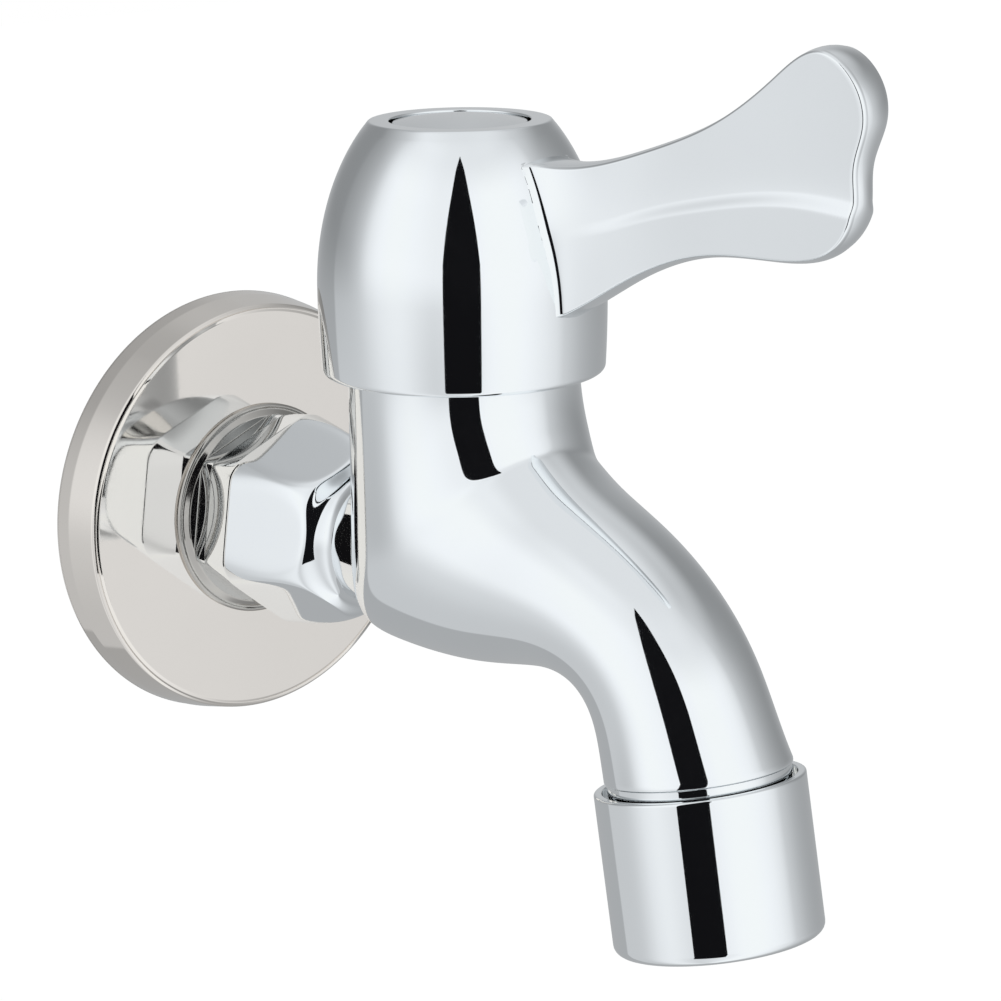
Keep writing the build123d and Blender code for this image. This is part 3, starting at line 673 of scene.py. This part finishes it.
class Wiring:
    """The nodes of a material or of the sky, with short ways to add and join them."""

    def __init__(self, owner):
        self.nodes, self.links = owner.node_tree.nodes, owner.node_tree.links

    def feed(self, socket, value):
        """Joins an output to an input, or sets the input to a number or colour."""
        if isinstance(value, bpy.types.NodeSocket):
            self.links.new(value, socket)
        else:
            socket.default_value = value

    def add(self, kind, inputs, settings=(), output=0):
        """A new node's output. Inputs go by name or number, settings are names and values."""
        node = self.nodes.new("ShaderNode" + kind)
        for name, value in settings:
            setattr(node, name, value)
        for name, value in inputs.items():
            self.feed(node.inputs[name], value)
        return node.outputs[output]

    def maths(self, operation, *values):
        """One step of arithmetic between outputs or numbers."""
        return self.add("Math", dict(enumerate(values)), [("operation", operation)])

    def blended(self, factor, first, second):
        """Goes from the first colour to the second with the factor."""
        first, second = ((*c, 1) if isinstance(c, tuple) else c for c in (first, second))
        return self.add("Mix", {0: factor, 6: first, 7: second}, [("data_type", "RGBA")], 2)

    def smooth_step(self, value, start, end):
        """A soft step from 0 at start to 1 at end."""
        inputs = {"From Min": start, "From Max": end, "Value": value}
        return self.add("MapRange", inputs, [("interpolation_type", "SMOOTHSTEP")])

    def spread(self, source, low, high):
        """Stretches the middle of a 0 to 1 pattern between two values."""
        inputs = {"From Min": 0.35, "From Max": 0.65, "To Min": low, "To Max": high}
        return self.add("MapRange", {**inputs, "Value": source})

    def noise(self, scale, detail=3.0, stretch=(1, 1, 1)):
        """Soft noise on the object's own coordinates, in cycles per metre."""
        where = self.add("TexCoord", {}, output="Object")
        where = self.add("Mapping", {"Scale": stretch, "Vector": where})
        inputs = {"Scale": scale, "Detail": detail, "Vector": where}
        return self.add("TexNoise", inputs, output="Fac")

    def finish_with(self, shader):
        """Makes a shader the one that shows."""
        out = next(n for n in self.nodes if n.type in ("OUTPUT_MATERIAL", "OUTPUT_WORLD"))
        self.links.new(shader, out.inputs["Surface"])


def new_material(name):
    """A node material, its wiring and its surface shader."""
    material = bpy.data.materials.new(name)
    material.use_nodes = True
    wiring = Wiring(material)
    return material, wiring, next(n for n in wiring.nodes if n.type == "BSDF_PRINCIPLED")


def surfaced(name, colour, metal, shade, clouds, polish, roughness, wave, bump):
    """
    A finish: clouds of the colour and a darker shade of it, an uneven polish, and a fine bump.
    Clouds, polish and wave are the scale, detail and stretch of a noise, and the bump is its
    strength and depth. With no wave, the noise of the polish gives the bump.
    """
    material, wiring, shader = new_material(name)
    shader.inputs["Metallic"].default_value = metal
    dark = tuple(shade * c for c in colour)
    wiring.feed(shader.inputs["Base Color"], wiring.blended(wiring.noise(*clouds), dark, colour))
    grain = wiring.noise(*polish)
    wiring.feed(shader.inputs["Roughness"], wiring.spread(grain, *roughness))
    height = wiring.noise(*wave) if wave else grain
    inputs = {"Strength": bump[0], "Distance": bump[1], "Height": height}
    wiring.feed(shader.inputs["Normal"], wiring.add("Bump", inputs))
    return material


def plated(name, colour, roughness, ripple):
    """Chrome plate: a slightly uneven polish and a faint long ripple."""
    limits, bump = (0.75 * roughness, 1.25 * roughness), (ripple, 0.0002)
    return surfaced(name, colour, 1, 0.97, (90,), (420, 5.0), limits, (55, 1.0), bump)


def rubbery(name, colour, roughness, grain):
    """Moulded rubber or plastic: a fine grain, cloudy tone and soft gloss."""
    limits = (0.85 * roughness, 1.15 * roughness)
    return surfaced(name, colour, 0, 0.86, (160,), (2600, 4.0), limits, None, (grain, 0.00008))


def lathe_turned(name, colour, roughness, stretch, rings):
    """Turned metal: fine rings across the axis of the part, and a cloudy tone."""
    limits = (0.8 * roughness, 1.25 * roughness)
    grain = (1500, 3.0, stretch)
    return surfaced(name, colour, 1, 0.88, (140,), grain, limits, None, (rings, 0.00003))


def pressed_steel(name, colour):
    """Pressed and buffed sheet: a warm tone, long soft ripples and fine marks of polishing."""
    limits, bump = (0.035, 0.06), (0.10, 0.0004)
    return surfaced(name, colour, 1, 0.95, (60,), (900, 4.0), limits, (36, 0.5), bump)


# Sizes and finishes that a user may change

def size_setting(name, description, default, low, high):
    """A size in millimetres that a user may change."""
    return FloatProperty(name=name, description=description, default=default, min=low, max=high)


def colour_setting(name, description, default):
    """A colour that a user may change."""
    return FloatVectorProperty(
        name=name, description=description, subtype="COLOR", size=3, min=0, max=1, default=default,
    )


class TapSizes(bpy.types.PropertyGroup):
    """Sizes of the parts that are made here."""

    lever_turn: FloatProperty(
        name="Lever turn", description="Angle of the lever from straight out, in degrees",
        default=LEVER_TURN,
    )
    lever_edge: size_setting("Lever edge", "Rounding of the lever's rim", 0.7, 0.2, 1.5)
    boss_edge: size_setting(
        "Boss edge", "Softness of the edge between the spanner flats and the dome", 0.2, 0.05, 0.6,
    )
    neck_fillet: size_setting(
        "Neck fillet", "Radius of the fillet between neck and barrel", 2.6, 1.0, 3.4,
    )
    thread_pitch: size_setting("Thread pitch", "Pitch of the inlet's pipe thread", 1.814, 1.0, 2.5)


class TapFinishes(bpy.types.PropertyGroup):
    """Colours and polish of the metal."""

    chrome: colour_setting("Chrome", "Colour of the chrome plate", (0.915, 0.94, 0.955))
    steel: colour_setting("Flange steel", "Colour of the pressed flange", (0.87, 0.825, 0.775))
    washer: colour_setting("Ring steel", "Colour of the ring behind the hexagon", (0.55, 0.53, 0.50))
    chrome_roughness: FloatProperty(
        name="Chrome roughness", description="Polish of the chrome plate", subtype="FACTOR",
        default=0.035, min=0, max=1,
    )
    tent_level: FloatProperty(
        name="Tent level", description="Brightness of the studio tent round the tap",
        default=1.0, min=0.2, max=2,
    )


def chrome_plate():
    """The bright plate of body, handle and nozzle, made once."""
    known = bpy.data.materials.get("chrome_plate")
    if known:
        return known
    finish = bpy.context.scene.tap_finishes
    return plated("chrome_plate", tuple(finish.chrome), finish.chrome_roughness, 0.05)


# Operators

class TapStudio(bpy.types.Operator):
    """Sets up the soft white tent, the pale floor and the camera of the photograph"""

    bl_idname = "tap.studio"
    bl_label = "Studio"

    def execute(self, context):
        scene = context.scene
        scene.view_settings.view_transform = "Standard"
        build_tent(scene, scene.tap_finishes.tent_level)
        build_opening()
        build_floor()
        build_camera(scene)
        return FINISHED


def tent_side(sky, share, column):
    """The greys of one column of TENT_SIDES, as a smooth run all round the tent."""
    ramp = sky.nodes.new("ShaderNodeValToRGB")
    ramp.color_ramp.interpolation = "B_SPLINE"
    sky.feed(ramp.inputs[0], share)
    elements = ramp.color_ramp.elements
    for row in TENT_SIDES[1:-1]:
        elements.new(row[0] / 360 + 0.5)
    for element, row in zip(elements, TENT_SIDES):
        element.position = row[0] / 360 + 0.5
        element.color = (*(row[column] * c for c in TENT_TINT), 1)
    return ramp.outputs[0]


def build_tent(scene, level):
    """
    The studio tent as a sky: white sides that fall off behind the tap, a pale roof and a grey
    table below. Directions are measured round from the photographer's side and up from level.
    """
    world = bpy.data.worlds.new("studio_tent")
    scene.world = world
    world.use_nodes = True
    sky = Wiring(world)
    where = sky.add("TexCoord", {}, output="Generated")
    c, s = math.cos(PHOTOGRAPHER_SIDE), math.sin(PHOTOGRAPHER_SIDE)
    ahead, aside, up = (
        sky.add("VectorMath", {0: where, 1: axis}, [("operation", "DOT_PRODUCT")], "Value")
        for axis in ((s, -c, 0), (c, s, 0), (0, 0, 1))
    )
    round_angle = sky.maths("DEGREES", sky.maths("ARCTAN2", aside, ahead))
    rise = sky.maths("DEGREES", sky.maths("ARCSINE", up))
    share = sky.maths("MULTIPLY_ADD", round_angle, 1 / 360, 0.5)
    low, middle, high = (tent_side(sky, share, column) for column in (1, 2, 3))
    table, roof = (tuple(grey * c for c in TENT_TINT) for grey in (TABLE_GREY, TENT_ROOF))
    tent = sky.blended(sky.smooth_step(round_angle, *TABLE_EDGE), table, low)
    for limits, colour in ((LOW_TO_MIDDLE, middle), (MIDDLE_TO_HIGH, high), (HIGH_TO_ROOF, roof)):
        tent = sky.blended(sky.smooth_step(rise, *limits), tent, colour)
    camera_ray = sky.add("LightPath", {}, output="Is Camera Ray")
    shown = sky.blended(camera_ray, tent, (1.0, 1.0, 1.0))
    sky.finish_with(sky.add("Background", {"Color": shown, "Strength": level}))


def stage_sheet(name, grid):
    """A sheet of the stage from a grid of points in millimetres."""
    cells = grid_faces(*grid.shape[:2], 0)
    mesh = bpy.data.meshes.new(name)
    mesh.from_pydata((grid.reshape(-1, 3) * MM).tolist(), [], cells.tolist())
    sheet = bpy.data.objects.new(name, mesh)
    bpy.context.scene.collection.objects.link(sheet)
    return sheet


def build_opening():
    """
    The tall dark opening of the tent, which narrows to its top. It is an upright panel that
    faces the barrel. Only the metal's reflections show it.
    """
    c, s = math.cos(PHOTOGRAPHER_SIDE), math.sin(PHOTOGRAPHER_SIDE)
    height, half = OPENING[:, :1], OPENING[:, 1:]
    across = half * np.array([-1.0, 1.0])
    x = OPENING_REACH * s + across * c
    y = across * s - OPENING_REACH * c - BARREL_OUT
    grid = np.stack([x, y, height + 0 * across], axis=-1)
    opening = stage_sheet("tent_opening", grid)
    material, wiring, _ = new_material("opening_dark")
    dark = wiring.add("Emission", {"Color": (*OPENING_DARK, 1)})
    clear = wiring.add("BsdfTransparent", {})
    glossy = wiring.add("LightPath", {}, output="Is Glossy Ray")
    wiring.finish_with(wiring.add("MixShader", {0: glossy, 1: clear, 2: dark}))
    opening.data.materials.append(material)


def build_floor():
    """The plain pale floor under the tap. The camera sees it white, with the tap's soft shadow."""
    side = np.linspace(-FLOOR_HALF, FLOOR_HALF, 5)
    x, y = np.meshgrid(side, side, indexing="ij")
    floor = stage_sheet("floor", np.stack([x, y, 0 * x + FLOOR_HEIGHT], axis=-1))
    material, wiring, shader = new_material("floor_paper")
    shader.inputs["Base Color"].default_value = (FLOOR_GREY, FLOOR_GREY, FLOOR_GREY, 1)
    shader.inputs["Roughness"].default_value = FLOOR_ROUGHNESS
    glow = wiring.add("Emission", {"Color": (1, 1, 1, 1), "Strength": FLOOR_GLOW})
    clear = wiring.add("BsdfTransparent", {})
    camera_ray = wiring.add("LightPath", {}, output="Is Camera Ray")
    share = wiring.maths("MULTIPLY", camera_ray, FLOOR_GLOW_SHARE)
    pale = wiring.add("MixShader", {0: share, 1: shader.outputs[0], 2: glow})
    glossy = wiring.add("LightPath", {}, output="Is Glossy Ray")
    wiring.finish_with(wiring.add("MixShader", {0: glossy, 1: pale, 2: clear}))
    floor.data.materials.append(material)


def build_camera(scene):
    """The photograph's camera: its place, turn, tilt, slight roll and lens."""
    turn, tilt, roll = (math.radians(v) for v in CAMERA_ANGLES)
    level_back = math.cos(tilt)
    back = np.array([math.sin(turn) * level_back, -math.cos(turn) * level_back, math.sin(tilt)])
    level = np.array([math.cos(turn), math.sin(turn), 0.0])
    upright = np.cross(back, level)
    right = level * math.cos(roll) + upright * math.sin(roll)
    up = upright * math.cos(roll) - level * math.sin(roll)
    camera = bpy.data.objects.new("camera", bpy.data.cameras.new("camera"))
    scene.collection.objects.link(camera)
    columns = np.stack([right, up, back, np.array(CAMERA_PLACE) * MM], axis=1)
    camera.matrix_world = Matrix([*columns.tolist(), [0, 0, 0, 1]])
    camera.data.sensor_width = SENSOR_WIDTH
    camera.data.lens = CAMERA_LENS
    camera.data.clip_start = 0.01
    camera.data.clip_end = 20.0
    scene.camera = camera


class TapBody(bpy.types.Operator):
    """Makes the flowing barrel and spout with the nipple that carries the nozzle"""

    bl_idname = "tap.body"
    bl_label = "Barrel and spout"

    def execute(self, context):
        top = rounded([
            (0, CHAMBER_STOP, 0), (CHAMBER_RADIUS, CHAMBER_STOP, 0.3),
            (CHAMBER_RADIUS, BARREL_TOP, 0.3), (BARREL_RADIUS, BARREL_TOP, 0.4),
            (BARREL_RADIUS, HUB_BOTTOM, 0),
        ])
        r, z = top[:-1].T
        rim = np.stack([r, z, -r, z, r], axis=1)
        guide = guide_curve(BODY_GUIDE, np.linspace(0, 1, 230))
        nipple = SLEEVE_BORE - 0.03
        end = rounded([
            (SPOUT_RADIUS, SPOUT_END, 0), (SPOUT_RADIUS, SPOUT_STEP, 0.2),
            (SPOUT_STEP_RADIUS, SPOUT_STEP, 0.1), (SPOUT_STEP_RADIUS, 0, 0.1), (nipple, 0, 0.05),
            (nipple, -NIPPLE_LENGTH, 0.3), (WATERWAY_RADIUS, -NIPPLE_LENGTH, 0.3),
            (WATERWAY_RADIUS, 1, 0.3), (0, 1, 0),
        ])
        rings = nozzle_rows(end[1:, ::-1])
        rows = np.concatenate([rim, guide, rings])
        angle = np.linspace(0, 2 * math.pi, 176, endpoint=False)
        grid = body_section(rows[:, None, :], angle[None, :])
        sheets = [(grid, False, True, False)]
        piece("barrel_and_spout", sheets, "tap", "chrome", chrome_plate(), "tap_body")
        return FINISHED


def boss_grid(ball, round_edge, count=192, easing=15):
    """
    The neck's fillet, the neck and the hexagon boss, its softened foot and the shank behind
    it, as rows from the body to the thread. Over the first rows the neck's end eases from the
    fillet's uneven edge to a plain circle.
    """
    turn, fillet = neck_fillet(ball, count, 12)
    fillet = fillet[::-1]
    joint_out = -fillet[-1, :, 1]
    ease = np.linspace(0, 1, easing + 1)[1:, None]
    level = np.concatenate([
        np.arange(BOSS_END - 0.08, 28.0, -0.08),
        np.arange(28.0, BOSS_FOOT + 0.5, -0.22),
        np.linspace(BOSS_FOOT + 0.45, BOSS_FOOT + BOSS_FOOT_EDGE, 4),
    ])
    out = np.concatenate([(1 - ease) * joint_out + ease * BOSS_END, level[:, None] + 0 * turn])
    waist = NECK_RADIUS - NECK_SPREAD * (joint_out - BOSS_END)
    reach = boss_reach(turn[None] + 0 * out, out, round_edge, waist)
    reach[:easing] = (1 - ease) * NECK_RADIUS + ease * reach[easing]
    edge = reach[-1:]
    arc = np.linspace(0, math.pi / 2, 5)[1:, None]
    foot_r = [edge - BOSS_FOOT_EDGE * (1 - np.cos(arc)), edge - 0.25, (edge + SHANK_RADIUS) / 2]
    foot_r += [BOSS_FOOT_BORE + 0 * edge, SHANK_RADIUS + 0 * edge]
    foot_out = BOSS_FOOT + BOSS_FOOT_EDGE * (1 - np.sin(arc))
    foot_out = np.concatenate([foot_out, np.full((4, 1), BOSS_FOOT)])
    shank = rounded([(SHANK_RADIUS, BOSS_FOOT - 0.1, 0), (SHANK_RADIUS, THREAD_BEFORE, 0)])
    return np.concatenate([
        fillet, round_inlet(reach, out, turn), round_inlet(np.concatenate(foot_r), foot_out, turn),
        turned(shank, about_inlet, count),
    ])


def thread_grid(pitch, count=144):
    """The inlet's threaded pipe, from its hidden start to its end, and the bore inside it."""
    turn = np.linspace(0, 2 * math.pi, count, endpoint=False)
    out = np.arange(THREAD_BEFORE, -THREAD_BEHIND, -0.13)[:, None] + 0 * turn
    reach = thread_reach(turn[None], out, pitch, THREAD_DEPTH)
    start = turned(np.array([(7.0, 4.2), (8.6, 4.05)]), about_inlet, count)
    bore = rounded([
        (8.9, -THREAD_BEHIND, 0), (INLET_BORE, -THREAD_BEHIND, 0.6),
        (INLET_BORE, INLET_BORE_END, 1.0), (0, INLET_BORE_END, 0),
    ], spacing=4)
    return np.concatenate([start, round_inlet(reach, out, turn), turned(bore, about_inlet, count)])


class TapBoss(bpy.types.Operator):
    """Makes the neck with its fillet, the hexagon boss and the threaded inlet"""

    bl_idname = "tap.boss"
    bl_label = "Neck, boss and inlet"

    def execute(self, context):
        sizes = context.scene.tap_sizes
        boss = boss_grid(sizes.neck_fillet, sizes.boss_edge)
        for name, grid in (("neck_and_boss", boss), ("inlet_thread", thread_grid(sizes.thread_pitch))):
            piece(name, [(grid, False, True, False)], "tap", "chrome", chrome_plate())
        return FINISHED


class TapFlange(bpy.types.Operator):
    """Makes the pressed wall flange with its rounded bead, and the ridged ring on it"""

    bl_idname = "tap.flange"
    bl_label = "Flange and ring"

    def execute(self, context):
        finish = context.scene.tap_finishes
        edge, depth = FLANGE_FACE_RADIUS, FLANGE_DEPTH
        rim = (edge + 0.12, depth - 0.02, 0)
        hole = (FLANGE_HOLE, FLANGE_WEB_BACK, 0)
        bead = rounded([
            rim, (edge + 0.5, depth - 0.3, 0.5), (FLANGE_RADIUS - 0.25, 2.4, 3.0),
            (FLANGE_RADIUS, 0, 0),
        ], steps=8, spacing=0.5)
        face = rounded([
            hole, (FLANGE_HOLE, depth, 0.15), (edge - 0.5, depth, 0.25),
            (edge - 0.12, depth - 0.2, 0.12), rim,
        ], spacing=1.2)
        back = rounded([
            (FLANGE_RADIUS - 0.03, 0.35, 0), (FLANGE_RADIUS, 0, 0.12), (29.1, 0, 0.1),
            (28.8, 4.5, 0.8), (28.0, FLANGE_WEB_BACK, 0.8), hole,
        ])
        profile = np.concatenate([face, bead[1:-1], back])
        steel = pressed_steel("flange_steel", tuple(finish.steel))
        turned_piece("wall_flange_cup", profile, about_inlet, 240, True,
                     "tap", "polished_steel", steel, "wall_flange")
        profile = rounded([
            (FLANGE_HOLE, RING_BACK, 0), (FLANGE_HOLE, RING_FRONT, 0.1), (13.35, RING_FRONT, 0.3),
            (14.2, 7.42, 0.2), (14.55, 7.74, 0.18), (14.9, 7.4, 0.15), (14.85, RING_BACK, 0.05),
            (FLANGE_HOLE, RING_BACK, 0),
        ], steps=5, spacing=0.9)
        washer = lathe_turned("washer_steel", tuple(finish.washer), 0.08, (1, 6, 1), 0.01)
        turned_piece("flange_ring", profile, about_inlet, 192, True,
                     "tap", "dull_steel", washer, "flange_washer")
        return FINISHED


def hub_grid(count=240):
    """
    The hub's profile carried round the barrel's axis: the bell outside, the recess for the
    button on top, and below it the hollow with the boss for the spindle. The radius of the
    spindle's hole is the lesser of a round and a square.
    """
    angle = math.acos(HUB_FLAT_RADIUS / HUB_RADIUS)
    tall = (HUB_TOP - HUB_BELT) / math.sin(angle)
    a = np.linspace(angle - 0.05, 0, 46)
    bell = np.stack([HUB_RADIUS * np.cos(a), HUB_BELT + tall * np.sin(a)], axis=1)
    z = np.linspace(HUB_BELT, HUB_BOTTOM + 1.5, 12)[1:]
    skirt = np.stack([hub_reach(z), z], axis=1)
    inner = HUB_RADIUS - HUB_WALL
    seat = BUTTON_RADIUS + BUTTON_PLAY
    under = rounded([
        (*skirt[-1], 0), (HUB_FOOT_RADIUS, HUB_BOTTOM, 0.8), (inner, HUB_BOTTOM, 0.3),
        (inner, 39.5, 1.0), (inner - 3.2, HUB_WEB, 1.5), (SOCKET_BOSS_RADIUS, HUB_WEB, 0.8),
        (SOCKET_BOSS_RADIUS, SOCKET_BOSS_FOOT, 0.3), (SOCKET_RADIUS, SOCKET_BOSS_FOOT, 0),
        (SOCKET_RADIUS, HUB_WEB, 0), (SCREW_HOLE, HUB_WEB, 0), (SCREW_HOLE, SCREW_SEAT, 0),
        (SCREW_POCKET, SCREW_SEAT, 0.2), (SCREW_POCKET, BUTTON_FLOOR, 0.2),
        (seat, BUTTON_FLOOR, 0.2), (seat, HUB_TOP, 0.2), (HUB_FLAT_RADIUS, HUB_TOP, 0.5),
        (*bell[1], 0),
    ])
    profile = np.concatenate([bell[1:], skirt, under[1:-1]])
    turn = np.linspace(0, 2 * math.pi, count, endpoint=False)
    radius = profile[:, :1] + 0 * turn
    socket = np.abs(profile[:, 0] - SOCKET_RADIUS) < 1e-6
    own = turn - math.radians(LEVER_TURN)
    square = SOCKET_HALF_WIDTH / np.maximum(np.abs(np.cos(own)), np.abs(np.sin(own)))
    radius[socket] = np.minimum(square, SOCKET_RADIUS)
    grid = np.stack([radius * np.cos(turn), radius * np.sin(turn), profile[:, 1:] + 0 * turn], axis=-1)
    return about_barrel(grid)


class TapHandle(bpy.types.Operator):
    """Makes the bell-shaped hub and the dished lever of the handle"""

    bl_idname = "tap.handle"
    bl_label = "Hub and lever"

    def execute(self, context):
        sizes = context.scene.tap_sizes
        hub = [(hub_grid(), True, True, False)]
        piece("handle_hub", hub, "handle", "chrome", chrome_plate(), "handle")
        lever = lever_sheets(sizes.lever_turn, sizes.lever_edge)
        piece("handle_lever", lever, "handle", "chrome", chrome_plate(), sharp=50)
        return FINISHED


class TapButton(bpy.types.Operator):
    """Makes the plain index disc in the top of the hub"""

    bl_idname = "tap.button"
    bl_label = "Index disc"

    def execute(self, context):
        finish = context.scene.tap_finishes
        crown = HUB_TOP + BUTTON_CROWN
        side, floor = BUTTON_RADIUS - BUTTON_INSET, BUTTON_FLOOR + 0.02
        r = np.linspace(0, BUTTON_RADIUS - 0.55, 24)
        dome = np.stack([r, crown - BUTTON_FALL * (r / BUTTON_RADIUS) ** 2], axis=1)
        edge = rounded([
            (*dome[-1], 0), (side, dome[-1, 1] - 0.04, 0.2), (side, floor, 0.2), (0, floor, 0),
        ], steps=5)
        profile = np.concatenate([dome, edge[1:]])
        satin = plated("button_chrome", tuple(0.98 * c for c in finish.chrome), 0.09, 0.04)
        turned_piece("index_disc", profile, about_barrel, 160, False,
                     "handle", "button_chrome", satin, "index_button")
        return FINISHED


class TapNozzle(bpy.types.Operator):
    """Makes the round sleeve that holds the aerator"""

    bl_idname = "tap.nozzle"
    bl_label = "Nozzle sleeve"

    def execute(self, context):
        profile = rounded([
            (SLEEVE_RADIUS, -3, 0), (SLEEVE_RADIUS, -SLEEVE_LENGTH, 1.2),
            (SLEEVE_LIP_RADIUS, -SLEEVE_LENGTH, 0.35), (SLEEVE_LIP_RADIUS, -SLEEVE_LIP_TOP, 0.2),
            (SLEEVE_BORE, -SLEEVE_LIP_TOP, 0.2), (SLEEVE_BORE, -SLEEVE_MOUTH, 0.1),
            (SLEEVE_MOUTH_RADIUS, -SLEEVE_MOUTH, 0.1), (SLEEVE_MOUTH_RADIUS, 0, 0.2),
            (SLEEVE_RADIUS, 0, 0.3), (SLEEVE_RADIUS, -3, 0),
        ])
        turned_piece("nozzle_casing", profile, about_nozzle, 192, True,
                     "tap", "chrome", chrome_plate(), "nozzle_sleeve")
        return FINISHED


class TapInside(bpy.types.Operator):
    """Finishes the parts that the construction frame already shapes: cartridge, screw and aerator"""

    bl_idname = "tap.inside"
    bl_label = "Cartridge and aerator"

    def execute(self, context):
        brass = lathe_turned("turned_brass", (0.78, 0.60, 0.30), 0.26, (1, 1, 8), 0.2)
        steel = lathe_turned("plain_steel", (0.56, 0.55, 0.53), 0.30, (1, 1, 6), 0.2)
        wire = lathe_turned("screen_steel", (0.50, 0.50, 0.49), 0.38, (3, 3, 3), 0.3)
        black = rubbery("black_rubber", (0.022, 0.022, 0.024), 0.55, 0.3)
        ceramic = rubbery("white_ceramic", (0.82, 0.81, 0.77), 0.16, 0.08)
        white = rubbery("white_plastic", (0.78, 0.77, 0.74), 0.38, 0.15)
        grey = rubbery("grey_plastic", (0.30, 0.31, 0.32), 0.42, 0.2)
        finishes = (
            (brass, ("cartridge_housing", "cartridge_stem")),
            (black, ("housing_gasket", "seat_gasket", "stem_o_rings", "nozzle_washer")),
            (ceramic, ("fixed_disc", "moving_disc")),
            (white, ("stem_washer",)),
            (steel, ("stem_clip", "handle_screw", "screw_washer")),
            (grey, ("aerator_basket", "aerator_diffuser", "aerator_spacers")),
            (wire, ("aerator_screens",)),
        )
        for material, names in finishes:
            for name in names:
                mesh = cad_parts[name].data
                mesh.materials.clear()
                mesh.materials.append(material)
        return FINISHED


class TapPanel(bpy.types.Panel):
    """Lists the tap's parts, sizes and finishes in the sidebar"""

    bl_idname = "VIEW3D_PT_wall_tap"
    bl_label = "Wall tap"
    bl_space_type = "VIEW_3D"
    bl_region_type = "UI"
    bl_category = "Wall tap"

    def draw(self, context):
        layout = self.layout
        for group in (context.scene.tap_sizes, context.scene.tap_finishes):
            box = layout.box()
            for name in group.bl_rna.properties.keys():
                if name not in ("rna_type", "name"):
                    box.prop(group, name)
        for operator in STEPS:
            layout.operator(operator.bl_idname)


STEPS = (TapStudio, TapBody, TapBoss, TapFlange, TapHandle, TapButton, TapNozzle, TapInside)
CLASSES = (TapSizes, TapFinishes, *STEPS, TapPanel)


def register():
    """Adds the classes and the two groups of settings to the scene."""
    for cls in CLASSES:
        bpy.utils.register_class(cls)
    bpy.types.Scene.tap_sizes = PointerProperty(type=TapSizes)
    bpy.types.Scene.tap_finishes = PointerProperty(type=TapFinishes)


def unregister():
    """Takes the settings and classes away again."""
    del bpy.types.Scene.tap_finishes
    del bpy.types.Scene.tap_sizes
    for cls in reversed(CLASSES):
        bpy.utils.unregister_class(cls)


def main():
    """Runs every step in order."""
    register()
    for step in STEPS:
        group, name = step.bl_idname.split(".")
        result = getattr(getattr(bpy.ops, group), name)()
        if result != FINISHED:
            raise RuntimeError(f"the step {step.bl_label} didn't finish")


if __name__ == "__main__":
    main()
